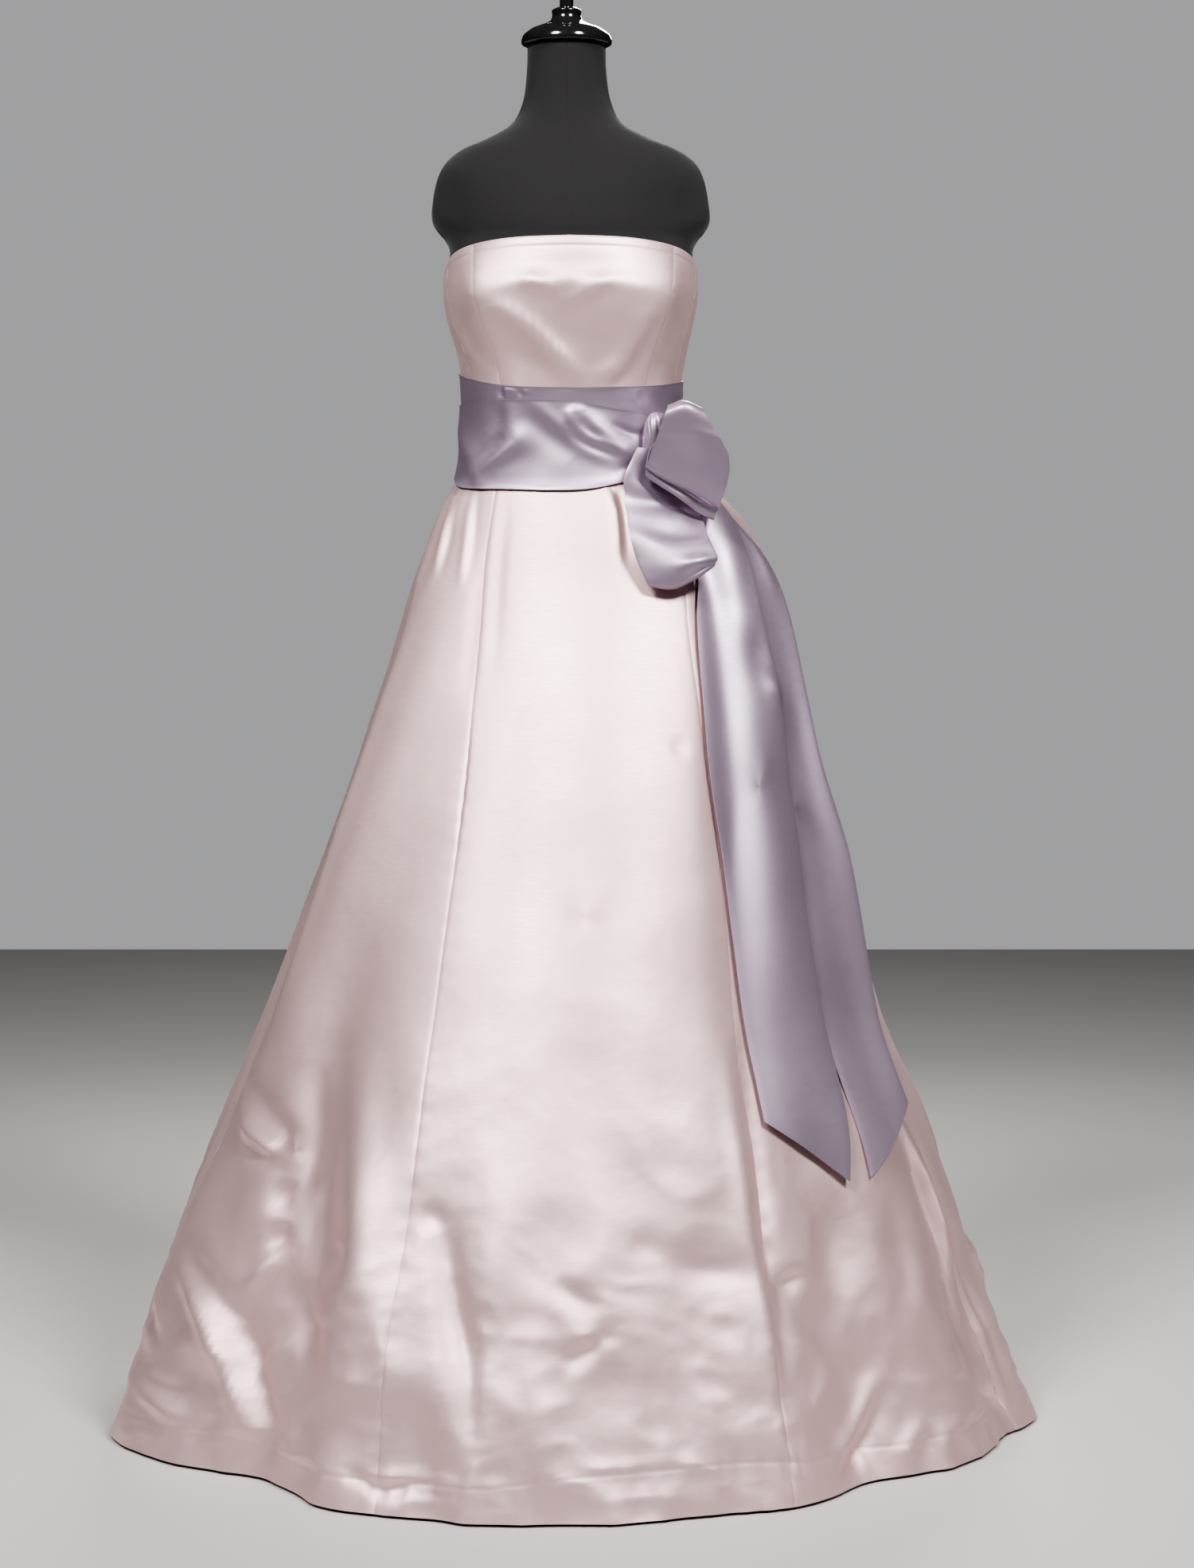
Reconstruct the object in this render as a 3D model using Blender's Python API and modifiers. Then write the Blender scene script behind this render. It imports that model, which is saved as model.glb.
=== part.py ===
# Strapless A-line wedding dress with a wrapped satin sash and bow, standing on a limbless dress form.
# Metres, +Z up. The front of the gown faces -Y, and +X is the wearer's left.
# The origin is the middle of the underside of the form's round foot, on the floor.
import math
from collections import namedtuple

import bmesh
import bpy
from mathutils import Vector

# Driving sizes
HEM_HEIGHT = 0.006
WAIST_SEAM = 1.1265
SEAM_GAP = 0.0003
BODICE_CLOTH = 0.0018
SKIRT_CLOTH = 0.0015
RIBBON_CLOTH = 0.0012
FORM_CLEARANCE = 0.0014
FOLDS_BEGIN = 1.075
FOLDS_BLEND = 0.050
NECK_MIDDLE = 1.330
PANEL_WIDTH_HEIGHT = {"bodice": 1.25, "skirt": 0.50}
DEGREES_PER_COLUMN = 5.0

Section = namedtuple("Section", "height left right front back")

GOWN_SECTIONS = (
    Section(1.350, -0.134, 0.145, 0.106, 0.098),
    Section(1.320, -0.140, 0.150, 0.113, 0.099),
    Section(1.285, -0.143, 0.152, 0.117, 0.098),
    Section(1.255, -0.1385, 0.147, 0.113, 0.095),
    Section(1.220, -0.128, 0.139, 0.105, 0.091),
    Section(1.180, -0.1215, 0.1325, 0.0985, 0.088),
    Section(1.1265, -0.1205, 0.1315, 0.0965, 0.087),
    Section(1.076, -0.1265, 0.1450, 0.1030, 0.096),
    Section(1.050, -0.1410, 0.1830, 0.1120, 0.110),
    Section(1.002, -0.1610, 0.2180, 0.1340, 0.138),
    Section(0.947, -0.1810, 0.2450, 0.1610, 0.164),
    Section(0.845, -0.2140, 0.2710, 0.2080, 0.213),
    Section(0.705, -0.2630, 0.3010, 0.2700, 0.280),
    Section(0.565, -0.3160, 0.3350, 0.3300, 0.345),
    Section(0.452, -0.3590, 0.3650, 0.3780, 0.398),
    Section(0.339, -0.4070, 0.4140, 0.4270, 0.450),
    Section(0.226, -0.4520, 0.4530, 0.4740, 0.502),
    Section(0.112, -0.4890, 0.4910, 0.5180, 0.552),
    Section(0.000, -0.5210, 0.5370, 0.5570, 0.600),
)

# A fold runs down the skirt from its high angle to its low one, and its depth changes on the way
Fold = namedtuple("Fold", "high_angle low_angle high_width low_width high_depth low_depth high low")

SKIRT_FOLDS = (
    Fold(-6, -7, 14, 13, 0.0, 0.014, 0.50, 0.00),
    Fold(-30, -27, 9, 8, 0.0, 0.010, 0.70, 0.10),
    Fold(-40, -42, 9, 9, 0.0, -0.032, 0.60, 0.00),
    Fold(-62, -66, 11, 11, 0.0, 0.024, 0.62, 0.00),
    Fold(-88, -84, 8, 7, 0.0, -0.020, 0.98, 0.20),
    Fold(16, 17, 8, 8, 0.0, -0.008, 0.50, 0.00),
    Fold(30, 29, 7, 7, 0.0, 0.008, 0.40, 0.00),
    Fold(42, 40, 8, 8, 0.0, -0.034, 0.55, 0.00),
    Fold(60, 57, 8, 8, 0.0, 0.008, 0.60, 0.10),
    Fold(70, 66, 6, 5, 0.0, -0.012, 0.45, 0.05),
    Fold(78, 75, 7, 6, 0.0, 0.014, 0.60, 0.05),
    Fold(38, 31, 6, 5, -0.011, -0.006, 1.02, 0.20),
    Fold(-62, -60, 5, 5, 0.004, 0.0, 1.04, 0.90),
    Fold(-76, -74, 5, 5, 0.004, 0.0, 1.04, 0.86),
    Fold(100, 104, 9, 8, 0.006, 0.016, 1.00, 0.10),
    Fold(116, 120, 8, 8, -0.003, -0.018, 1.00, 0.10),
    Fold(131, 136, 8, 8, 0.006, 0.020, 1.00, 0.10),
    Fold(150, 154, 9, 8, -0.003, -0.018, 1.00, 0.10),
    Fold(168, 170, 8, 8, 0.004, 0.016, 1.00, 0.10),
    Fold(-170, -171, 8, 8, -0.003, -0.010, 1.00, 0.10),
    Fold(-155, -156, 8, 8, 0.005, 0.020, 1.00, 0.10),
    Fold(-137, -138, 8, 8, -0.003, -0.018, 1.00, 0.10),
    Fold(-120, -121, 8, 8, 0.005, 0.019, 1.00, 0.10),
    Fold(-103, -104, 7, 7, 0.003, 0.012, 1.00, 0.10),
)

# The cups: a soft rise on each side of the front
Cup = namedtuple("Cup", "angle height width tall depth")
CUPS = (
    Cup(-38, 1.268, 22, 0.050, 0.011),
    Cup(36, 1.268, 22, 0.050, 0.011),
    Cup(0, 1.245, 14, 0.040, -0.003),
)


def smooth_step(value):
    value = min(max(value, 0.0), 1.0)
    return value * value * (3.0 - 2.0 * value)


def turn(first, second):
    # Signed difference of two angles in degrees
    return (first - second + 180.0) % 360.0 - 180.0


def through(places, values, at):
    # Smooth curve through values given at rising places
    if at <= places[0]:
        return values[0]
    if at >= places[-1]:
        return values[-1]
    index = max(i for i, place in enumerate(places[:-1]) if place <= at)

    def slope(i):
        low = max(i - 1, 0)
        high = min(i + 1, len(places) - 1)
        return (values[high] - values[low]) / (places[high] - places[low])

    span = places[index + 1] - places[index]
    t = (at - places[index]) / span
    return (
        (2 * t**3 - 3 * t**2 + 1) * values[index]
        + (t**3 - 2 * t**2 + t) * span * slope(index)
        + (3 * t**2 - 2 * t**3) * values[index + 1]
        + (t**3 - t**2) * span * slope(index + 1)
    )


def columns(rows, *names):
    ordered = sorted(rows, key=lambda row: row[0])
    return [[getattr(row, name) for row in ordered] for name in names]


GOWN_COLUMNS = columns(GOWN_SECTIONS, "height", "left", "right", "front", "back")


def fold_depth(angle, height):
    depth = 0.0
    for fold in SKIRT_FOLDS:
        share = smooth_step((fold.high - height) / (fold.high - fold.low))
        centre = fold.high_angle + (fold.low_angle - fold.high_angle) * share
        width = fold.high_width + (fold.low_width - fold.high_width) * share
        depth_here = fold.high_depth + (fold.low_depth - fold.high_depth) * share
        depth += depth_here * math.exp(-((turn(angle, centre) / width) ** 2))
    return depth * smooth_step((FOLDS_BEGIN - height) / FOLDS_BLEND)


def cup_depth(angle, height):
    return sum(
        cup.depth
        * math.exp(-((turn(angle, cup.angle) / cup.width) ** 2))
        * math.exp(-(((height - cup.height) / cup.tall) ** 2))
        for cup in CUPS
    )


def gown_point(angle, height, out=0.0):
    # A point on the outside of the gown. Angle 0 is the centre front, and 90 is the wearer's left side.
    left, right, front, back = (through(GOWN_COLUMNS[0], column, height) for column in GOWN_COLUMNS[1:])
    sine = math.sin(math.radians(angle))
    cosine = math.cos(math.radians(angle))
    depth = front if cosine > 0 else back
    rise = fold_depth(angle, height) if height < WAIST_SEAM else cup_depth(angle, height)
    rise += out
    return (
        (left + right) / 2 + (right - left) / 2 * sine + rise * sine,
        -depth * cosine - rise * cosine,
        height,
    )


def angle_at(x, height, out=0.0):
    # The angle on the front half whose point has this x
    low, high = -90.0, 90.0
    for _ in range(40):
        middle = (low + high) / 2
        if gown_point(middle, height, out)[0] < x:
            low = middle
        else:
            high = middle
    return (low + high) / 2


# The gown's cut: seams as angles round the body, from the neck edge down to the hem
Seam = namedtuple("Seam", "height left_front left_side left_back right_front right_side right_back")
SEAMS = (
    Seam(1.345, 57.0, 80.0, 140.0, -53.0, -78.0, -140.0),
    Seam(1.280, 47.0, 74.0, 140.0, -43.0, -72.0, -140.0),
    Seam(1.180, 42.0, 66.0, 140.0, -39.0, -64.0, -140.0),
    Seam(1.1265, 40.0, 66.0, 140.0, -40.0, -64.0, -140.0),
    Seam(1.000, 31.0, 74.0, 142.0, -38.0, -72.0, -142.0),
    Seam(0.900, 28.0, 72.0, 143.0, -34.0, -71.0, -143.0),
    Seam(0.650, 32.0, 70.0, 144.0, -27.0, -69.0, -144.0),
    Seam(0.300, 29.5, 69.0, 145.0, -22.5, -68.0, -145.0),
    Seam(0.000, 26.0, 70.0, 145.0, -22.0, -70.0, -145.0),
)
SEAM_HEIGHTS = columns(SEAMS, "height")[0]

# Height of the neck edge round the body, the same on both sides
Edge = namedtuple("Edge", "angle height")
NECK_EDGE = (
    Edge(0, 1.3450),
    Edge(30, 1.3430),
    Edge(57, 1.3360),
    Edge(75, 1.3270),
    Edge(90, 1.3120),
    Edge(120, 1.2920),
    Edge(180, 1.2900),
)
NECK_COLUMNS = columns(NECK_EDGE, "angle", "height")

SKIRT_ROWS = (
    HEM_HEIGHT, 0.075, 0.150, 0.235, 0.325, 0.420, 0.520, 0.625, 0.730, 0.830,
    0.910, 0.965, 1.010, 1.045, 1.070, 1.088, 1.106, WAIST_SEAM - SEAM_GAP / 2,
)
BODICE_STEPS = 7


def seam_angle(name, height):
    if name == "back_left":
        return 180.0
    if name == "back_right":
        return -180.0
    return through(SEAM_HEIGHTS, columns(SEAMS, name)[0], height)


def neck_height(angle):
    return through(NECK_COLUMNS[0], NECK_COLUMNS[1], abs(turn(angle, 0.0)))


def outward(angle, height, out=0.0):
    # Direction that points away from the cloth at this place
    across = Vector(gown_point(angle + 0.5, height, out)) - Vector(gown_point(angle - 0.5, height, out))
    up = Vector(gown_point(angle, height + 0.002, out)) - Vector(gown_point(angle, height - 0.002, out))
    return across.cross(up).normalized()


def degrees_for(length, angle, height):
    # The angle that spans a short length of cloth round the body
    step = Vector(gown_point(angle + 0.5, height)) - Vector(gown_point(angle - 0.5, height))
    return length / step.length


def cloth_between(outer, inner, closed=False):
    # Closed wall from two grids of points, rows by columns, which may run right round
    mesh = bmesh.new()
    grids = [[[mesh.verts.new(point) for point in row] for row in grid] for grid in (outer, inner)]
    rows = len(outer)
    count = len(outer[0])
    spans = count if closed else count - 1
    for side, grid in enumerate(grids):
        for i in range(rows - 1):
            for j in range(spans):
                k = (j + 1) % count
                face = [grid[i][j], grid[i][k], grid[i + 1][k], grid[i + 1][j]]
                mesh.faces.new(face if side == 0 else face[::-1])
    front, back = grids
    for j in range(spans):
        k = (j + 1) % count
        mesh.faces.new([front[0][k], front[0][j], back[0][j], back[0][k]])
        mesh.faces.new([front[-1][j], front[-1][k], back[-1][k], back[-1][j]])
    if not closed:
        for i in range(rows - 1):
            mesh.faces.new([front[i][0], front[i + 1][0], back[i + 1][0], back[i][0]])
            mesh.faces.new([front[i + 1][-1], front[i][-1], back[i][-1], back[i + 1][-1]])
    return mesh


def material(name, colour, roughness, metallic=0.0):
    made = bpy.data.materials.new(name)
    made.use_nodes = True
    principled = made.node_tree.nodes["Principled BSDF"]
    principled.inputs["Base Color"].default_value = (*colour, 1.0)
    principled.inputs["Roughness"].default_value = roughness
    principled.inputs["Metallic"].default_value = metallic
    made.diffuse_color = (*colour, 1.0)
    return made


def add_object(name, mesh, surface, smooth_angle=50.0):

    data = bpy.data.meshes.new(name)
    mesh.to_mesh(data)
    mesh.free()
    data.shade_smooth()
    data.set_sharp_from_angle(angle=math.radians(smooth_angle))
    data.materials.append(surface)
    made = bpy.data.objects.new(name, data)
    dress.objects.link(made)
    return made


def gown_panel(name, places, thickness, surface):
    # A panel of the gown, from rows of (angle, height) on its outside
    outer = [[gown_point(angle, height) for angle, height in row] for row in places]
    inner = [
        [Vector(gown_point(angle, height)) - outward(angle, height) * thickness for angle, height in row]
        for row in places
    ]
    add_object(name, cloth_between(outer, inner), surface)


def panel_row(first, last, heights_at):
    # Angles from one seam to the next at one row, with half a seam gap left at each end
    start_height = heights_at(first)
    end_height = heights_at(last)
    start = first + degrees_for(SEAM_GAP / 2, first, start_height)
    end = last - degrees_for(SEAM_GAP / 2, last, end_height)
    return start, end


def panel_span(part, first_seam, last_seam):
    height = PANEL_WIDTH_HEIGHT[part]
    return seam_angle(last_seam, height) - seam_angle(first_seam, height)


def skirt_panel(name, first_seam, last_seam):
    span = panel_span("skirt", first_seam, last_seam)
    count = max(2, round(span / DEGREES_PER_COLUMN))
    places = []
    for height in SKIRT_ROWS:
        first, last = panel_row(
            seam_angle(first_seam, height), seam_angle(last_seam, height), lambda angle: height
        )
        places.append([(first + (last - first) * j / count, height) for j in range(count + 1)])
    gown_panel(name, places, SKIRT_CLOTH, ivory_satin)


def bodice_panel(name, first_seam, last_seam):
    span = panel_span("bodice", first_seam, last_seam)
    count = max(2, round(span / DEGREES_PER_COLUMN))
    bottom = WAIST_SEAM + SEAM_GAP / 2
    places = []
    for i in range(BODICE_STEPS + 1):
        share = i / BODICE_STEPS

        def height_at(angle):
            return bottom + (neck_height(angle) - bottom) * share

        middle = bottom + (NECK_MIDDLE - bottom) * share
        first, last = panel_row(
            seam_angle(first_seam, middle), seam_angle(last_seam, middle), height_at
        )
        row = [first + (last - first) * j / count for j in range(count + 1)]
        places.append([(angle, height_at(angle)) for angle in row])
    gown_panel(name, places, BODICE_CLOTH, ivory_satin)


def build_gown():
    # Each panel runs from one seam to the next, in the direction of the wearer's left
    panels = (
        ("front", "right_front", "left_front"),
        ("side_front_left", "left_front", "left_side"),
        ("side_back_left", "left_side", "left_back"),
        ("back_left", "left_back", "back_left"),
        ("back_right", "back_right", "right_back"),
        ("side_back_right", "right_back", "right_side"),
        ("side_front_right", "right_side", "right_front"),
    )
    for panel, first_seam, last_seam in panels:
        bodice_panel("bodice_" + panel, first_seam, last_seam)
        skirt_panel("skirt_" + panel, first_seam, last_seam)


# Lap strips over the concealed zip at the centre back, above and below the sash
Placket = namedtuple("Placket", "name bottom top steps")
PLACKETS = (
    Placket("placket_bodice", 1.197, 1.289, 5),
    Placket("placket_skirt", 0.930, 1.050, 8),
)
PLACKET_HALF_WIDTH = 0.010
PLACKET_CLOTH = 0.0010
PLACKET_OUT = 0.0006


def build_plackets():
    for placket in PLACKETS:
        outer = []
        inner = []
        for i in range(placket.steps + 1):
            height = placket.bottom + (placket.top - placket.bottom) * i / placket.steps
            half = degrees_for(PLACKET_HALF_WIDTH, 180.0, height)
            angles = [180.0 + half * share for share in (-1.0, -0.5, 0.0, 0.5, 1.0)]
            bases = [(Vector(gown_point(angle, height)), outward(angle, height)) for angle in angles]
            inner.append([base + normal * PLACKET_OUT for base, normal in bases])
            outer.append([base + normal * (PLACKET_OUT + PLACKET_CLOTH) for base, normal in bases])
        add_object(placket.name, cloth_between(outer, inner), ivory_satin)


# The sash goes round the waist twice. Edge heights of each wrap round the body
Wrap = namedtuple("Wrap", "angle upper_top upper_bottom lower_top lower_bottom")
WRAPS = (
    Wrap(-180, 1.189, 1.140, 1.156, 1.075),
    Wrap(-90, 1.195, 1.142, 1.158, 1.076),
    Wrap(-65, 1.188, 1.140, 1.160, 1.064),
    Wrap(-35, 1.178, 1.138, 1.162, 1.061),
    Wrap(0, 1.175, 1.136, 1.160, 1.060),
    Wrap(25, 1.176, 1.132, 1.151, 1.070),
    Wrap(50, 1.179, 1.130, 1.146, 1.078),
    Wrap(90, 1.187, 1.136, 1.150, 1.079),
    Wrap(180, 1.189, 1.140, 1.156, 1.075),
)
WRAP_ANGLES = columns(WRAPS, "angle")[0]
UPPER_WRAP_OUT = 0.0009
LOWER_WRAP_OUT = 0.0029
WRAP_COLUMNS = 64

# Soft ridges in the lower wrap, each from one place on it to another
Ridge = namedtuple("Ridge", "first_angle first_height last_angle last_height width depth")
WRAP_RIDGES = (
    Ridge(4, 1.142, 26, 1.106, 0.014, 0.0050),
    Ridge(-50, 1.078, -28, 1.116, 0.016, 0.0040),
    Ridge(-86, 1.130, -62, 1.098, 0.016, 0.0030),
)
METRES_PER_DEGREE = 0.0021


def ridge_rise(angle, height):
    rise = 0.0
    for ridge in WRAP_RIDGES:
        start = Vector((ridge.first_angle * METRES_PER_DEGREE, ridge.first_height))
        end = Vector((ridge.last_angle * METRES_PER_DEGREE, ridge.last_height))
        here = Vector((turn(angle, 0.0) * METRES_PER_DEGREE, height))
        along = (here - start).dot(end - start) / (end - start).length_squared
        nearest = start + (end - start) * min(max(along, 0.0), 1.0)
        rise += ridge.depth * math.exp(-(((here - nearest).length / ridge.width) ** 2))
    return rise


def sash_wrap(name, top_name, bottom_name, out, steps, ridged):
    tops, bottoms = columns(WRAPS, top_name, bottom_name)
    outer = []
    inner = []
    for i in range(steps + 1):
        outer_row = []
        inner_row = []
        for j in range(WRAP_COLUMNS):
            angle = -180.0 + 360.0 * j / WRAP_COLUMNS
            top = through(WRAP_ANGLES, tops, angle)
            bottom = through(WRAP_ANGLES, bottoms, angle)
            height = bottom + (top - bottom) * i / steps
            rise = out + (ridge_rise(angle, height) if ridged else 0.0)
            inner_row.append(gown_point(angle, height, rise))
            outer_row.append(gown_point(angle, height, rise + RIBBON_CLOTH))
        outer.append(outer_row)
        inner.append(inner_row)
    add_object(name, cloth_between(outer, inner, closed=True), lavender_satin)


# The knot, a padded roll of ribbon at the wearer's left front
KNOT_ANGLE = 42.0
KNOT_HEIGHT = 1.1135
KNOT_TALL = 0.0330
KNOT_WIDE = 0.0165
KNOT_BACK = 0.0067
KNOT_FRONT = 0.0305
KNOT_SQUARENESS = 0.75
KNOT_FOLDS = 5
KNOT_FOLD_DEPTH = 0.0012


def build_knot():
    mesh = bmesh.new()
    bmesh.ops.create_uvsphere(mesh, u_segments=16, v_segments=10, radius=1.0)
    base = Vector(gown_point(KNOT_ANGLE, KNOT_HEIGHT, (KNOT_BACK + KNOT_FRONT) / 2))
    sine = math.sin(math.radians(KNOT_ANGLE))
    cosine = math.cos(math.radians(KNOT_ANGLE))
    away = Vector((sine, -cosine, 0.0))
    along = Vector((cosine, sine, 0.0))
    half_deep = (KNOT_FRONT - KNOT_BACK) / 2

    def squared(value):
        return math.copysign(abs(value) ** KNOT_SQUARENESS, value)

    for vertex in mesh.verts:
        around = math.atan2(vertex.co.y, vertex.co.x)
        ring = math.hypot(vertex.co.x, vertex.co.y)
        fold = 1.0 - KNOT_FOLD_DEPTH / KNOT_WIDE * ring * (1.0 + math.cos(KNOT_FOLDS * around))
        vertex.co = (
            base
            - along * KNOT_WIDE * squared(vertex.co.x) * fold
            + away * half_deep * squared(vertex.co.y) * fold
            + Vector((0.0, 0.0, KNOT_TALL * squared(vertex.co.z)))
        )
    add_object("sash_knot", mesh, lavender_satin)


# A ribbon's stations, each with places on its left edge, middle and right edge.
# A place is an angle round the body, a height, and how far it stands out from the gown.
Station = namedtuple(
    "Station",
    "left_angle left_height left_out "
    "middle_angle middle_height middle_out "
    "right_angle right_height right_out",
)
UPPER_LOOP = (
    Station(56, 1.136, 0.0056, 61, 1.136, 0.0058, 66, 1.133, 0.0056),
    Station(46.7, 1.152, 0.0273, 51.2, 1.158, 0.0308, 57.3, 1.153, 0.0328),
    Station(35.8, 1.153, 0.0612, 39.6, 1.158, 0.0719, 45.5, 1.152, 0.0745),
    Station(30.8, 1.148, 0.0852, 34.9, 1.153, 0.0997, 40.9, 1.146, 0.1033),
    Station(28.8, 1.127, 0.0804, 35.9, 1.128, 0.1011, 43.7, 1.122, 0.1092),
    Station(28.3, 1.115, 0.0743, 36.6, 1.113, 0.0970, 46.0, 1.109, 0.1094),
    Station(27.6, 1.105, 0.0687, 37.1, 1.098, 0.0902, 47.9, 1.094, 0.1075),
    Station(26.8, 1.093, 0.0615, 36.3, 1.079, 0.0787, 47.8, 1.074, 0.0961),
    Station(26.4, 1.089, 0.0579, 35.1, 1.070, 0.0707, 43.5, 1.053, 0.0705),
    Station(25.8, 1.086, 0.0555, 33.4, 1.063, 0.0618, 42.1, 1.040, 0.0595),
    Station(25.3, 1.080, 0.0515, 31.8, 1.057, 0.0532, 41.4, 1.033, 0.0531),
    Station(26.1, 1.074, 0.0447, 31.9, 1.048, 0.0426, 42.0, 1.025, 0.0398),
    Station(28.4, 1.081, 0.0389, 34.9, 1.058, 0.0361, 45.1, 1.033, 0.0332),
    Station(32.6, 1.105, 0.0371, 43.6, 1.093, 0.0424, 54.3, 1.079, 0.0482),
    Station(41, 1.122, 0.0335, 46, 1.116, 0.0320, 54, 1.106, 0.0240),
)
LOWER_LOOP = (
    Station(29, 1.107, 0.0255, 35, 1.105, 0.0285, 41, 1.101, 0.0302),
    Station(19.9, 1.078, 0.0366, 30.2, 1.066, 0.0285, 41.4, 1.058, 0.0228),
    Station(13.9, 1.050, 0.0261, 28.6, 1.041, 0.0180, 41.9, 1.033, 0.0229),
    Station(12.4, 1.030, 0.0289, 24.9, 1.022, 0.0276, 38.0, 1.017, 0.0404),
    Station(11.5, 1.008, 0.0322, 23.0, 0.998, 0.0376, 34.8, 1.002, 0.0520),
    Station(12.5, 0.980, 0.0252, 22.7, 0.975, 0.0378, 34.6, 0.984, 0.0548),
    Station(14.7, 0.957, 0.0195, 22.7, 0.954, 0.0268, 34.0, 0.976, 0.0498),
    Station(15.6, 0.951, 0.0145, 23.4, 0.949, 0.0186, 34.2, 0.973, 0.0426),
    Station(16.7, 0.958, 0.0117, 23.8, 0.956, 0.0138, 33.9, 0.978, 0.0346),
    Station(19, 1.000, 0.0100, 26, 1.000, 0.0150, 35, 1.005, 0.0240),
    Station(24, 1.045, 0.0080, 30, 1.045, 0.0070, 37, 1.045, 0.0090),
    Station(32, 1.074, 0.0090, 37, 1.076, 0.0100, 42, 1.0775, 0.0120),
)
FRONT_TAIL = (
    Station(54, 1.086, 0.0056, 57, 1.086, 0.0058, 61, 1.085, 0.0056),
    Station(48, 1.045, 0.0085, 55, 1.043, 0.0090, 63, 1.040, 0.0090),
    Station(40, 1.000, 0.0085, 50, 0.998, 0.0110, 60, 0.995, 0.0090),
    Station(33, 0.950, 0.0080, 45, 0.948, 0.0100, 56, 0.945, 0.0090),
    Station(30, 0.900, 0.0080, 43, 0.900, 0.0105, 55.5, 0.900, 0.0090),
    Station(29.5, 0.815, 0.0075, 43, 0.814, 0.0085, 56.5, 0.812, 0.0100),
    Station(29.8, 0.747, 0.0075, 42, 0.746, 0.0085, 54.5, 0.745, 0.0090),
    Station(31.6, 0.655, 0.0075, 42, 0.652, 0.0085, 53, 0.649, 0.0090),
    Station(32.2, 0.580, 0.0075, 42, 0.577, 0.0085, 51.5, 0.573, 0.0090),
    Station(32.7, 0.498, 0.0075, 42, 0.494, 0.0085, 51, 0.489, 0.0090),
    Station(33, 0.434, 0.0075, 42, 0.428, 0.0085, 50.5, 0.423, 0.0090),
    Station(32.8, 0.400, 0.0075, 41, 0.384, 0.0085, 49, 0.365, 0.0090),
    Station(32.6, 0.379, 0.0080, 40, 0.343, 0.0085, 46.5, 0.307, 0.0090),
)
BACK_TAIL = (
    Station(63, 1.085, 0.0056, 67, 1.085, 0.0058, 71, 1.083, 0.0056),
    Station(58, 1.050, 0.0035, 62, 1.050, 0.0035, 66, 1.050, 0.0035),
    Station(55, 1.025, 0.0035, 62, 1.023, 0.0035, 69, 1.021, 0.0040),
    Station(52, 1.000, 0.0035, 66, 0.998, 0.0040, 75.5, 0.996, 0.0070),
    Station(50, 0.955, 0.0035, 64, 0.953, 0.0050, 74.0, 0.950, 0.0110),
    Station(50, 0.900, 0.0035, 63, 0.898, 0.0050, 71.6, 0.896, 0.0144),
    Station(50, 0.820, 0.0035, 62, 0.818, 0.0050, 69.8, 0.816, 0.0166),
    Station(50, 0.745, 0.0035, 61, 0.745, 0.0070, 68.1, 0.747, 0.0213),
    Station(50.5, 0.650, 0.0035, 60, 0.650, 0.0110, 66.6, 0.650, 0.0338),
    Station(51, 0.545, 0.0040, 59.5, 0.544, 0.0130, 65.3, 0.544, 0.0316),
    Station(51.5, 0.470, 0.0040, 59.4, 0.469, 0.0125, 64.4, 0.468, 0.0283),
    Station(51.5, 0.415, 0.0045, 58.8, 0.418, 0.0123, 64.1, 0.424, 0.0275),
    Station(51.3, 0.350, 0.0050, 58.4, 0.371, 0.0127, 63.8, 0.396, 0.0270),
    Station(51, 0.307, 0.0050, 57.8, 0.339, 0.0124, 63.7, 0.376, 0.0264),
)
LOOP_CLOTH = 0.0014
TAIL_CLOTH = 0.0010


def ribbon(name, stations, steps, across, thickness):
    # An open surface through the stations, made into a wall by Solidify
    places = list(range(len(stations)))
    tables = [[getattr(station, field) for station in stations] for field in Station._fields]
    grid = []
    for i in range(steps + 1):
        at = (len(stations) - 1) * i / steps
        angles = [through(places, tables[k], at) for k in (0, 3, 6)]
        heights = [through(places, tables[k], at) for k in (1, 4, 7)]
        outs = [through(places, tables[k], at) for k in (2, 5, 8)]
        row = []
        for j in range(across + 1):
            share = 2.0 * j / across
            place = [through([0, 1, 2], values, share) for values in (angles, heights, outs)]
            row.append(gown_point(*place))
        grid.append(row)
    mesh = bmesh.new()
    verts = [[mesh.verts.new(point) for point in row] for row in grid]
    for i in range(steps):
        for j in range(across):
            mesh.faces.new([verts[i][j], verts[i][j + 1], verts[i + 1][j + 1], verts[i + 1][j]])
    made = add_object(name, mesh, lavender_satin)
    wall = made.modifiers.new("wall", "SOLIDIFY")
    wall.thickness = thickness
    wall.offset = 0.0
    return made


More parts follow.
